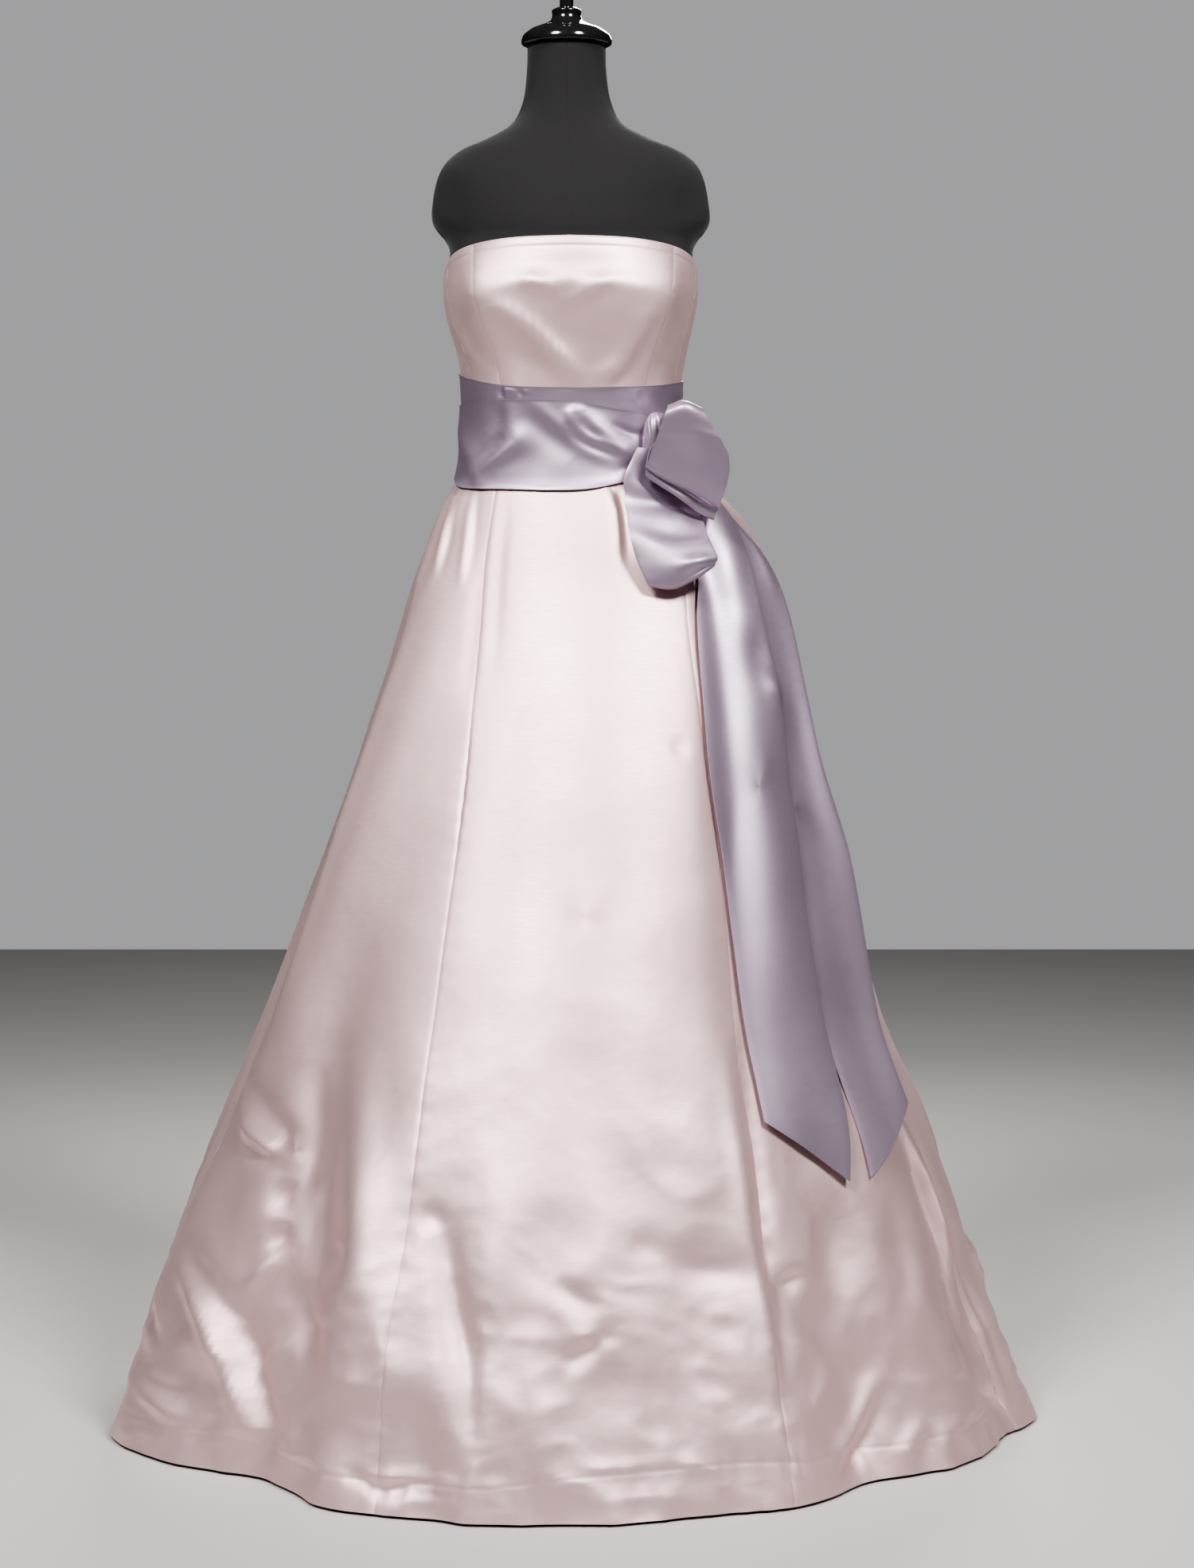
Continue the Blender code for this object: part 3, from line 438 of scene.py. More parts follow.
def crumpleRise(angle, height, size, seed):
    # crisp creases between soft hollows
    radius = np.degrees(metresPerDegree(height))
    place = np.stack([
        radius * np.sin(np.radians(angle)), -radius * np.cos(np.radians(angle)), height + 0.0 * angle
    ], axis=-1)
    bend = latticeNoise(place, size * crumple["bendSize"], seed + 1)[..., None] * size * crumple["bendReach"]
    large = np.abs(latticeNoise(place + bend, size, seed) - 0.5)
    small = np.abs(latticeNoise(place - bend, size * crumple["smallSize"], seed + 2) - 0.5)
    return crumple["middle"] - large - crumple["smallDepth"] * small


def spread(*spans):
    # rows of a grid, from spans of (first, last, count)
    return np.concatenate([np.linspace(*span) for span in spans])


# Cloth walls
def gridNormals(points, closed):
    if closed:
        across = np.roll(points, -1, axis=1) - np.roll(points, 1, axis=1)
    else:
        across = np.gradient(points, axis=1)
    normals = np.cross(across, np.gradient(points, axis=0))
    return normals / np.linalg.norm(normals, axis=-1, keepdims=True)


def quads(a, b, c, d):
    return np.stack([a.ravel(), b.ravel(), c.ravel(), d.ravel()], axis=1)


def smoothMesh(name, points, faces, sharpAngle):
    mesh = bpy.data.meshes.new(name)
    mesh.from_pydata(points.tolist(), [], faces)
    mesh.shade_smooth()
    mesh.set_sharp_from_angle(angle=math.radians(sharpAngle))
    return mesh


def wallMesh(name, points, thickness, closed=False, offset=1.0):
    # a thin closed wall from one grid of points, rows by columns. Offset 1 keeps the points outside.
    normals = gridNormals(points, closed)
    outer = points + normals * thickness * (1.0 - offset) / 2
    inner = outer - normals * thickness
    rows, count = points.shape[:2]
    size = rows * count
    index = np.arange(size).reshape(rows, count)
    if closed:
        index = np.hstack([index, index[:, :1]])
    low, high = index[:-1], index[1:]
    faces = [
        quads(low[:, :-1], low[:, 1:], high[:, 1:], high[:, :-1]),
        quads(low[:, :-1], high[:, :-1], high[:, 1:], low[:, 1:]) + size,
    ]
    edges = [index[0, ::-1], index[-1]]
    if not closed:
        edges += [index[:, 0], index[::-1, -1]]
    faces += [quads(edge[:-1], edge[1:], edge[1:] + size, edge[:-1] + size) for edge in edges]
    vertices = np.concatenate([outer.reshape(-1, 3), inner.reshape(-1, 3)])
    return smoothMesh(name, vertices, np.concatenate(faces).tolist(), sharpAngle=55)


def clothCut(points, closed):
    # the flat size of a cut piece: its widest row, its mean length and its area
    if closed:
        points = np.concatenate([points, points[:, :1]], axis=1)
    across = np.linalg.norm(np.diff(points, axis=1), axis=-1)
    up = np.linalg.norm(np.diff(points, axis=0), axis=-1)
    one = points[:-1, 1:] - points[:-1, :-1]
    two = points[1:, :-1] - points[:-1, :-1]
    three = points[1:, :-1] - points[1:, 1:]
    four = points[:-1, 1:] - points[1:, 1:]
    area = np.linalg.norm(np.cross(one, two), axis=-1).sum() / 2
    area += np.linalg.norm(np.cross(three, four), axis=-1).sum() / 2
    width = float(across.sum(axis=1).max())
    length = float(up.sum(axis=0).max())
    return (width, length), min(float(area), width * length)


def placePiece(name, mesh, slot, node):
    piece = bpy.data.objects.new(name, mesh)
    bpy.context.scene.collection.objects.link(piece)
    mesh.materials.append(surfaces[slot])
    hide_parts(node)
    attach(piece, "root")
    return piece


def addCloth(name, node, points, thickness, slot, closed=False, offset=1.0):
    piece = placePiece(name, wallMesh(name, points, thickness, closed, offset), slot, node)
    flat, area = clothCut(points, closed)
    print(f"  {name}: {flat[0]:.3f} by {flat[1]:.3f} m, {area:.3f} square metres")


# Materials
def feed(tree, socket, value):
    # a link from another node's output, or else a constant
    if isinstance(value, bpy.types.NodeSocket):
        tree.links.new(value, socket)
    else:
        socket.default_value = value


def addNode(tree, kind, place, **settings):
    # the settings are the node's properties, or what its inputs are fed
    node = tree.nodes.new("ShaderNode" + kind)
    node.location = place
    for name, value in settings.items():
        if name in node.bl_rna.properties:
            setattr(node, name, value)
        else:
            feed(tree, node.inputs[name], value)
    return node


def mathNode(tree, operation, place, *values):
    node = addNode(tree, "Math", place, operation=operation)
    for socket, value in zip(node.inputs, values):
        feed(tree, socket, value)
    return node.outputs[0]


def noiseNode(tree, place, **settings):
    return addNode(tree, "TexNoise", place, **settings).outputs[0]


def colourMix(tree, place, share, first, second):
    # the node has sockets of several kinds, and those of its colours come last
    node = addNode(tree, "Mix", place, data_type="RGBA", Factor=share)
    feed(tree, node.inputs[6], first)
    feed(tree, node.inputs[7], second)
    return node.outputs[2]


def newGroup(name, *inputs):
    # a node group with these inputs, and outputs for the colour, the roughness and the relief
    group = bpy.data.node_groups.new(name, "ShaderNodeTree")
    for title, kind, value in inputs:
        socket = group.interface.new_socket(name=title, in_out="INPUT", socket_type="NodeSocket" + kind)
        socket.default_value = value
    for title, kind in (("Colour", "Color"), ("Roughness", "Float"), ("Height", "Float")):
        group.interface.new_socket(name=title, in_out="OUTPUT", socket_type="NodeSocket" + kind)
    given = group.nodes.new("NodeGroupInput")
    given.location = (-1100, 0)
    result = group.nodes.new("NodeGroupOutput")
    result.location = (700, 0)
    return group, given.outputs, result.inputs


def closeGroup(group, result, colour, roughness, height):
    for socket, value in (("Colour", colour), ("Roughness", roughness), ("Height", height)):
        group.links.new(value, result[socket])
    return group


def makeSatinGroup():
    # satin: soft mottling, fine slubs across the cloth, thread relief and small crumples
    group, given, result = newGroup(
        "satinCloth",
        ("Cloth Colour", "Color", (0.8, 0.72, 0.7, 1.0)),
        ("Shade Colour", "Color", (0.7, 0.62, 0.6, 1.0)),
        ("Mottle Scale", "Float", 6.0),
        ("Base Roughness", "Float", 0.4),
        ("Slub Strength", "Float", 0.05),
        ("Thread Strength", "Float", 0.05),
        ("Crumple Scale", "Float", 24.0),
        ("Crumple Strength", "Float", 0.25),
        ("Crumple Fade", "Float", 0.0),
    )
    place = addNode(group, "TexCoord", (-1100, 300)).outputs["Object"]
    stretch = addNode(group, "Mapping", (-900, 150), Vector=place, Scale=(70.0, 70.0, 1100.0)).outputs[0]
    mottle = noiseNode(
        group, (-700, 400), Vector=place, Scale=given["Mottle Scale"], Detail=3.0, Roughness=0.5
    )
    slub = noiseNode(group, (-700, 150), Vector=stretch, Scale=1.0, Detail=2.0, Roughness=0.55)
    thread = noiseNode(group, (-700, -100), Vector=place, Scale=1500.0, Detail=1.0)
    crumples = noiseNode(
        group, (-700, -350), Vector=place, Scale=given["Crumple Scale"], Detail=2.5, Roughness=0.45
    )
    colour = colourMix(group, (300, 300), mottle, given["Cloth Colour"], given["Shade Colour"])
    uneven = mathNode(group, "MULTIPLY_ADD", (0, 100), mottle, 0.16, -0.08)
    streaks = mathNode(group, "MULTIPLY_ADD", (0, -50), slub, 0.14, -0.07)
    rough = mathNode(group, "ADD", (200, 50), uneven, streaks)
    rough = mathNode(group, "ADD", (400, 50), rough, given["Base Roughness"])
    slubs = mathNode(group, "MULTIPLY", (0, -200), slub, given["Slub Strength"])
    threads = mathNode(group, "MULTIPLY", (0, -350), thread, given["Thread Strength"])
    crumples = mathNode(group, "MULTIPLY", (0, -500), crumples, given["Crumple Strength"])
    # the crumples fade on the way up the gown
    up = addNode(group, "SeparateXYZ", (-700, -650), Vector=place).outputs["Z"]
    up = mathNode(group, "MULTIPLY", (-400, -650), up, 1.7)
    up = mathNode(group, "MINIMUM", (-200, -650), up, 1.0)
    fade = mathNode(group, "MULTIPLY", (0, -650), up, given["Crumple Fade"])
    fade = mathNode(group, "SUBTRACT", (150, -650), 1.0, fade)
    crumples = mathNode(group, "MULTIPLY", (300, -550), crumples, fade)
    height = mathNode(group, "ADD", (250, -250), slubs, threads)
    height = mathNode(group, "ADD", (450, -300), height, crumples)
    return closeGroup(group, result, colour, rough, height)


def makeMottleGroup():
    # plain surfaces: two tones and an uneven gloss from one noise, and fine grain from another
    group, given, result = newGroup(
        "mottledSurface",
        ("Dark Tone", "Color", (0.01, 0.01, 0.01, 1.0)),
        ("Light Tone", "Color", (0.02, 0.02, 0.02, 1.0)),
        ("Mottle Scale", "Float", 20.0),
        ("Mottle Detail", "Float", 4.0),
        ("Roughness Spread", "Float", 0.12),
        ("Base Roughness", "Float", 0.5),
        ("Grain Scale", "Vector", (400.0, 400.0, 400.0)),
        ("Grain Detail", "Float", 1.0),
    )
    place = addNode(group, "TexCoord", (-1100, 300)).outputs["Object"]
    patch = noiseNode(
        group, (-650, 200), Vector=place, Scale=given["Mottle Scale"], Detail=given["Mottle Detail"]
    )
    tone = colourMix(group, (-350, 200), patch, given["Dark Tone"], given["Light Tone"])
    spreadSocket, baseSocket = given["Roughness Spread"], given["Base Roughness"]
    rough = mathNode(group, "MULTIPLY_ADD", (-350, 0), patch, spreadSocket, baseSocket)
    stretch = addNode(group, "Mapping", (-900, -200), Vector=place, Scale=given["Grain Scale"]).outputs[0]
    grain = noiseNode(group, (-650, -200), Vector=stretch, Scale=1.0, Detail=given["Grain Detail"])
    return closeGroup(group, result, tone, rough, grain)


def makeSurface(name, group, relief, values, constants):
    # relief is the strength and the depth of the bump, values go to the group and constants to the shader
    surface = bpy.data.materials.new(name)
    surface.use_nodes = True
    tree = surface.node_tree
    principled = tree.nodes["Principled BSDF"]
    look = addNode(tree, "Group", (-600, 200), node_tree=group)
    for node, settings in ((look, values), (principled, constants)):
        for socket, value in settings.items():
            node.inputs[socket].default_value = value
    tree.links.new(look.outputs["Colour"], principled.inputs["Base Color"])
    tree.links.new(look.outputs["Roughness"], principled.inputs["Roughness"])
    if relief:
        strength, depth = relief
        bump = addNode(tree, "Bump", (-300, -200), Strength=strength, Distance=depth)
        tree.links.new(look.outputs["Height"], bump.inputs["Height"])
        tree.links.new(bump.outputs["Normal"], principled.inputs["Normal"])
    return surface


satinGroup = makeSatinGroup()
mottleGroup = makeMottleGroup()
surfaces = {
    "ivory_satin": makeSurface(
        "ivorySatin", satinGroup, (1.0, 0.001),
        {
            "Cloth Colour": (0.86, 0.610, 0.612, 1.0),
            "Shade Colour": (0.75, 0.530, 0.528, 1.0),
            "Mottle Scale": 5.0,
            "Base Roughness": 0.51,
            "Slub Strength": 0.035,
            "Thread Strength": 0.025,
            "Crumple Scale": 24.0,
            "Crumple Strength": 1.50,
            "Crumple Fade": 0.70,
        },
        {
            "Metallic": 0.70,
            "Specular IOR Level": 0.60,
            "Anisotropic": 0.30,
            "Sheen Weight": 0.06,
            "Sheen Roughness": 0.35,
        },
    ),
    "lavender_satin": makeSurface(
        "lavenderSatin", satinGroup, (1.0, 0.001),
        {
            "Cloth Colour": (0.43, 0.340, 0.430, 1.0),
            "Shade Colour": (0.37, 0.290, 0.366, 1.0),
            "Mottle Scale": 9.0,
            "Base Roughness": 0.46,
            "Slub Strength": 0.030,
            "Thread Strength": 0.025,
            "Crumple Scale": 30.0,
            "Crumple Strength": 0.15,
            "Crumple Fade": 0.0,
        },
        {
            "Metallic": 0.76,
            "Specular IOR Level": 0.60,
            "Anisotropic": 0.30,
            "Sheen Weight": 0.05,
            "Sheen Roughness": 0.35,
        },
    ),
    # matt knit: small loops in rows, worn a little paler in patches
    "black_jersey": makeSurface(
        "blackJersey", mottleGroup, (0.5, 0.0006),
        {
            "Dark Tone": (0.007, 0.0065, 0.007, 1.0),
            "Light Tone": (0.014, 0.0125, 0.013, 1.0),
            "Mottle Scale": 14.0,
            "Mottle Detail": 3.0,
            "Roughness Spread": 0.12,
            "Base Roughness": 0.80,
            "Grain Scale": (900.0, 900.0, 600.0),
            "Grain Detail": 1.0,
        },
        {"Specular IOR Level": 0.25, "Sheen Weight": 0.12, "Sheen Roughness": 0.5},
    ),
    # turned wood under black lacquer: mirror gloss with faint handling marks
    "gloss_black": makeSurface(
        "glossBlack", mottleGroup, None,
        {
            "Dark Tone": (0.006, 0.006, 0.0065, 1.0),
            "Light Tone": (0.011, 0.0105, 0.011, 1.0),
            "Mottle Scale": 45.0,
            "Mottle Detail": 4.0,
            "Roughness Spread": 0.12,
            "Base Roughness": 0.06,
        },
        {"Specular IOR Level": 0.5, "Coat Weight": 0.5, "Coat Roughness": 0.05},
    ),
    # cast iron under black paint: fine orange peel and duller patches here and there
    "black_iron": makeSurface(
        "blackIron", mottleGroup, (0.4, 0.0003),
        {
            "Dark Tone": (0.014, 0.014, 0.015, 1.0),
            "Light Tone": (0.028, 0.027, 0.028, 1.0),
            "Mottle Scale": 18.0,
            "Mottle Detail": 4.0,
            "Roughness Spread": 0.25,
            "Base Roughness": 0.32,
            "Grain Scale": (420.0, 420.0, 420.0),
            "Grain Detail": 2.0,
        },
        {"Specular IOR Level": 0.45},
    ),
}
print("materials made")


# The gown's panels, each from one seam to the next towards the wearer's left, and its even columns
panels = (
    ("Front", "front", "rightFront", "leftFront", 60),
    ("SideFrontLeft", "side_front_left", "leftFront", "leftSide", 46),
    ("SideBackLeft", "side_back_left", "leftSide", "leftBack", 76),
    ("BackLeft", "back_left", "leftBack", "centreBackLeft", 38),
    ("BackRight", "back_right", "centreBackRight", "rightBack", 38),
    ("SideBackRight", "side_back_right", "rightBack", "rightSide", 76),
    ("SideFrontRight", "side_front_right", "rightSide", "rightFront", 46),
)
edgeColumns = np.array([0.0, 0.0012, 0.0026, 0.0045, 0.0075, 0.0115])  # close beside a seam
evenFrom = 0.0165


def panelPlaces(firstSeam, lastSeam, heights, count):
    # the angles of a panel's rows, and how far each place is from the nearer seam
    scale = metresPerDegree(heights)
    first = seamAngle(firstSeam, heights) + gown["seamGap"] / 2 / scale
    last = seamAngle(lastSeam, heights) - gown["seamGap"] / 2 / scale
    width = ((last - first) * scale)[:, None]
    ends = edgeColumns / width
    inset = evenFrom / width
    share = np.hstack([ends, inset + (1 - 2 * inset) * np.linspace(0, 1, count), 1 - ends[:, ::-1]])
    angle = first[:, None] + (last - first)[:, None] * share
    return angle, np.minimum(share, 1 - share) * width


def seamRise(beside, height, seed):
    # beside is the distance from the seam. The stitching draws the cloth in and puckers it.
    drawn = -gown["stitchDepth"] * bell(beside, gown["stitchWidth"])
    wave = np.sin(2 * math.pi * height / gown["puckerLength"] + 2.6 * np.sin(height * 19.0 + seed))
    return drawn + gown["seamPucker"] * wave * bell(beside, gown["puckerWidth"])


# Relief of the skirt. From is the height where a kind begins, and over is how far down it comes in.
skirt = {
    "dents": 0.0028,           # loose dents low down
    "dentLengths": (0.070, 0.200),
    "dentsFrom": 0.62,
    "dentsOver": 0.45,
    "crumples": 0.0150,        # crisp crumples near the hem
    "crumpleSize": 0.075,
    "crumplesFrom": 0.44,
    "crumplesOver": 0.34,
    "crumplesAbove": 0.08,     # the share of them that goes on up the skirt
    "waves": 0.0010,           # long shallow waves high up
    "waveLengths": (0.12, 0.40),
    "wavesFrom": 1.05,
    "wavesOver": 0.10,
    "pull": 2.6,               # a stretch of the right front seam that is drawn tighter
    "pullAngle": -29.0,
    "pullWide": 6.0,
    "pullHeight": 0.726,
    "pullTall": 0.05,
    "stitchDepth": 0.0003,     # the hem's stitching, and the doubled cloth below it
    "stitchWidth": 0.0024,
    "doubled": 0.0001,
    "doubledOver": 0.0040,
    "hemPucker": 0.0011,
    "puckerBelow": 0.006,
    "puckerTall": 0.015,
}


def skirtRise(angle, height, beside, seed):
    rise = creaseRise(frontCreases + backCreases, angle, height)
    low = smoothStep((skirt["dentsFrom"] - height) / skirt["dentsOver"])
    rise = rise + skirt["dents"] * low * softDents(angle, height, 11, *skirt["dentLengths"])
    hem = smoothStep((skirt["crumplesFrom"] - height) / skirt["crumplesOver"])
    share = skirt["crumplesAbove"] + (1 - skirt["crumplesAbove"]) * hem
    rise = rise + skirt["crumples"] * share * crumpleRise(angle, height, skirt["crumpleSize"], 31)
    waves = skirt["waves"] * (1 - low) * softDents(angle, height, 5, *skirt["waveLengths"])
    rise = rise + waves * smoothStep((skirt["wavesFrom"] - height) / skirt["wavesOver"])
    tight = bell(turn(angle, skirt["pullAngle"]), skirt["pullWide"])
    tight = tight * bell(height - skirt["pullHeight"], skirt["pullTall"])
    rise = rise + seamRise(beside, height, seed) * (1.0 + skirt["pull"] * tight)
    below = smoothCurve(*column(hemStitch, "height", "angle"), turn(angle, 0.0)) - height
    rise = rise - skirt["stitchDepth"] * bell(below, skirt["stitchWidth"])
    rise = rise + skirt["doubled"] * smoothStep(below / skirt["doubledOver"])
    pucker = np.sin(angle * 2.9 + 2.2 * np.sin(angle * 0.41))
    return rise + skirt["hemPucker"] * pucker * bell(below - skirt["puckerBelow"], skirt["puckerTall"])


def skirtGrid(firstSeam, lastSeam, count, seed):
    top = gown["waistSeam"] - gown["seamGap"] / 2
    heights = spread(
        (gown["hemHeight"], 0.026, 8), (0.028, 0.056, 20), (0.060, 0.460, 100), (0.468, 1.050, 78),
        (1.056, top, 10),
    )
    angle, beside = panelPlaces(firstSeam, lastSeam, heights, count)
    height = np.broadcast_to(heights[:, None], angle.shape)
    return gownPoint(angle, height, skirtRise(angle, height, beside, seed))


bodice = {
    "neckMiddle": 1.330,
    "dents": 0.0003,
    "dentLengths": (0.05, 0.12),
    "seamShare": 0.8,
    "band": 0.0115,            # depth of the turned band along the neck edge
    "bandOut": 0.0003,
    "bandOver": 0.0035,
    "stitchWidth": 0.0018,
    "edgeRoll": 0.0009,
    "edgeOver": 0.0022,
}


def bodiceGrid(firstSeam, lastSeam, count, seed):
    bottom = gown["waistSeam"] + gown["seamGap"] / 2
    shares = spread((0.0, 0.925, 70), (0.935, 1.0, 14))
    middle = bottom + (bodice["neckMiddle"] - bottom) * shares
    angle, beside = panelPlaces(firstSeam, lastSeam, middle, count)
    top = neckHeight(angle)
    height = bottom + (top - bottom) * shares[:, None]
    below = top - height
    rise = creaseRise(bodiceCreases, angle, height)
    rise = rise + bodice["dents"] * softDents(angle, height, 3, *bodice["dentLengths"])
    rise = rise + bodice["seamShare"] * seamRise(beside, height, seed)
    rise = rise + bodice["bandOut"] * smoothStep((bodice["band"] - below) / bodice["bandOver"])
    rise = rise - bodice["bandOut"] * bell(below - bodice["band"], bodice["stitchWidth"])
    rise = rise - bodice["edgeRoll"] * smoothStep((bodice["edgeOver"] - below) / bodice["edgeOver"])
    return gownPoint(angle, height, rise)


for number, (title, node, firstSeam, lastSeam, count) in enumerate(panels):
    addCloth(
        "bodice" + title, "bodice_" + node, bodiceGrid(firstSeam, lastSeam, max(10, count // 3), number),
        gown["bodiceCloth"], "ivory_satin",
    )
    addCloth(
        "skirt" + title, "skirt_" + node, skirtGrid(firstSeam, lastSeam, count, number + 10),
        gown["skirtCloth"], "ivory_satin",
    )
print("gown panels sewn")

# The lap strip over the concealed zip at the centre back
placket = {
    "halfWidth": 0.010,
    "out": 0.0022,
    "cloth": 0.0008,
    "stitchIn": 0.0025,
    "stitchDepth": 0.0004,
    "stitchWidth": 0.0009,
    "ripple": 0.00015,
    "columns": 17,
}
for title, node, bottom, top, rows, restsOn in (
    ("placketBodice", "placket_bodice", 1.197, 1.289, 46, ["bodiceBackLeft", "bodiceBackRight"]),
    ("placketSkirt", "placket_skirt", 0.930, 1.050, 60, ["skirtBackLeft", "skirtBackRight"]),
):
    height = np.linspace(bottom, top, rows)[:, None]
    offset = placket["halfWidth"] * np.linspace(-1, 1, placket["columns"])
    angle = 180.0 + offset / metresPerDegree(height)
    inward = placket["halfWidth"] - np.abs(offset)
    stitching = bell(inward - placket["stitchIn"], placket["stitchWidth"])
    rise = placket["out"] - placket["stitchDepth"] * stitching
    rise = rise + placket["ripple"] * np.sin(height * 330.0 + angle)
    points = gownPoint(angle, height, rise + creaseRise(backCreases + bodiceCreases, angle, height))
    addCloth(title, node, points, placket["cloth"], "ivory_satin")
print("placket sewn")

# The sash, wound twice round the waist
sash = {
    "cloth": 0.0010,
    "upperOut": 0.0009,
    "lowerOut": 0.0029,
    "edgeRoll": 0.0004,
    "rollWidth": 0.0016,
    "dents": 0.0004,
    "dentLengths": (0.03, 0.09),
    "edgeOver": 0.006,     # the dents die out over this last stretch, and the creases come down
    "edgeShare": 0.25,     # to this share of their depth
    "degree": 0.0021,      # metres in a degree round the waist
    "columns": 400,
    "rows": 42,
}
Wrap = namedtuple("Wrap", "angle upperTop upperBottom lowerTop lowerBottom")
wraps = rowsOf(
    Wrap,
    (-180, 1.189, 1.14, 1.156, 1.075),
    (-90, 1.195, 1.142, 1.158, 1.076),
    (-65, 1.188, 1.14, 1.16, 1.064),
    (-35, 1.178, 1.138, 1.162, 1.061),
    (0, 1.175, 1.136, 1.16, 1.06),
    (25, 1.176, 1.132, 1.151, 1.07),
    (50, 1.179, 1.13, 1.146, 1.078),
    (90, 1.187, 1.136, 1.15, 1.079),
    (180, 1.189, 1.14, 1.156, 1.075),
)
Ridge = namedtuple("Ridge", "firstAngle firstHeight lastAngle lastHeight width depth")
wrapRidges = rowsOf(
    Ridge,
    (4, 1.142, 26, 1.106, 0.014, 0.005),
    (-50, 1.078, -28, 1.116, 0.016, 0.004),
    (-86, 1.13, -62, 1.098, 0.016, 0.003),
)
lowerWrapCreases = rowsOf(
    Crease,
    (((5.5, 1.152), (-0.6, 1.146), (2.4, 1.13), (12, 1.115), (29, 1.103)), 0.0048, 0.0019),
    (((5.5, 1.142), (9.5, 1.126), (16, 1.117)), 0.005, -0.002),
    (((-1, 1.124), (7.5, 1.11), (21, 1.098)), 0.0045, -0.0016),
    (((-20, 1.16), (-7.5, 1.136), (7, 1.106), (24, 1.086)), 0.008, 0.0022),
    (((-26, 1.148), (-10, 1.118), (0, 1.095)), 0.011, -0.0022),
    (((-50, 1.083), (-38.5, 1.097), (-28, 1.114)), 0.0065, 0.0024),
    (((-40, 1.08), (-31, 1.093), (-25, 1.103)), 0.009, -0.0008),
    (((-60, 1.083), (-46, 1.104), (-38, 1.125)), 0.009, -0.0022),
    (((-36.5, 1.16), (-36, 1.14), (-40, 1.12)), 0.012, 0.0014, "fold"),
    (((20, 1.134), (31, 1.124), (40, 1.122)), 0.005, -0.0022),
    (((22, 1.08), (32, 1.09), (38, 1.103)), 0.0055, -0.0026),
    (((60, 1.13), (76, 1.118), (96, 1.112)), 0.007, 0.0024),
    (((58, 1.102), (72, 1.098), (88, 1.1)), 0.006, -0.0022),
    (((118, 1.13), (140, 1.114), (165, 1.12)), 0.008, 0.002),
    (((125, 1.096), (150, 1.092), (178, 1.1)), 0.007, -0.0018),
    (((-172, 1.125), (-145, 1.11), (-118, 1.118)), 0.008, 0.002),
    (((-160, 1.092), (-135, 1.095), (-105, 1.09)), 0.007, -0.0018),
)
upperWrapCreases = rowsOf(
    Crease,
    (((-27.6, 1.173), (-25.6, 1.165)), 0.0024, -0.0008),
    (((-33, 1.178), (-29.8, 1.166)), 0.004, 0.001),
    (((-24, 1.177), (-22.5, 1.166)), 0.004, 0.0008),
    (((-37, 1.18), (-36.5, 1.164)), 0.005, 0.0014, "fold"),
    (((38, 1.176), (36.5, 1.158)), 0.008, -0.0006, "fold"),
    (((62, 1.176), (84, 1.17), (110, 1.174)), 0.0055, 0.0014),
    (((-150, 1.178), (-125, 1.17), (-95, 1.176)), 0.0055, 0.0014),
)


def ridgeRise(ridges, angle, height):
    rise = np.zeros(angle.shape)
    for ridge in ridges:
        across = (ridge.lastAngle - ridge.firstAngle) * sash["degree"]
        up = ridge.lastHeight - ridge.firstHeight
        u = turn(angle, ridge.firstAngle) * sash["degree"]
        v = height - ridge.firstHeight
        share = np.clip((u * across + v * up) / (across**2 + up**2), 0.0, 1.0)
        rise += ridge.depth * bell(np.hypot(u - across * share, v - up * share), ridge.width)
    return rise


def wrapGrid(wrap, creases, ridges):
    angles = -180.0 + 360.0 * np.arange(sash["columns"]) / sash["columns"]
    bottoms = smoothCurve(*column(wraps, wrap + "Bottom", "angle"), angles)
    tall = smoothCurve(*column(wraps, wrap + "Top", "angle"), angles) - bottoms
    share = np.linspace(0, 1, sash["rows"])[:, None]
    share = share - 0.06 * np.sin(2 * math.pi * share)  # rows closer at both edges
    height = bottoms + tall * share
    angle = np.broadcast_to(angles, height.shape)
    fromEdge = np.minimum(share, 1 - share) * tall
    inside = smoothStep(fromEdge / sash["edgeOver"])
    creased = sash["edgeShare"] + (1 - sash["edgeShare"]) * inside
    rise = sash[wrap + "Out"] + sash["cloth"] + ridgeRise(ridges, angle, height)
    rise = rise + creaseRise(creases, angle, height) * creased
    rise = rise + sash["dents"] * softDents(angle, height, 23, *sash["dentLengths"]) * inside
    rise = rise + sash["edgeRoll"] * bell(fromEdge, sash["rollWidth"])
    return gownPoint(angle, height, rise)


for title, node, wrap, creases, ridges, restsOn in (
    ("sashUpperWrap", "sash_upper_wrap", "upper", upperWrapCreases, (), "bodiceFront"),
    ("sashLowerWrap", "sash_lower_wrap", "lower", lowerWrapCreases, wrapRidges, "sashUpperWrap"),
):
    addCloth(
        title, node, wrapGrid(wrap, creases, ridges), sash["cloth"], "lavender_satin",
        closed=True,
    )
print("sash wound")

# The knot, a band drawn tight over the middle of the bow
knot = {
    "angle": 42.0,
    "height": 1.1135,
    "tall": 0.0330,
    "wide": 0.0165,
    "back": 0.0067,
    "front": 0.0305,
    "squareness": 0.75,
    "swirl": 0.5,
    "foldDepth": 0.0017,
    "folds": ((5, 1.0, 0.0), (9, 0.7, 1.3), (14, 0.45, 0.4)),  # how many go round, size and phase
    "cloth": 0.0010,
    "rows": 60,
    "columns": 96,
}


def squared(value):
    return np.sign(value) * np.abs(value) ** knot["squareness"]


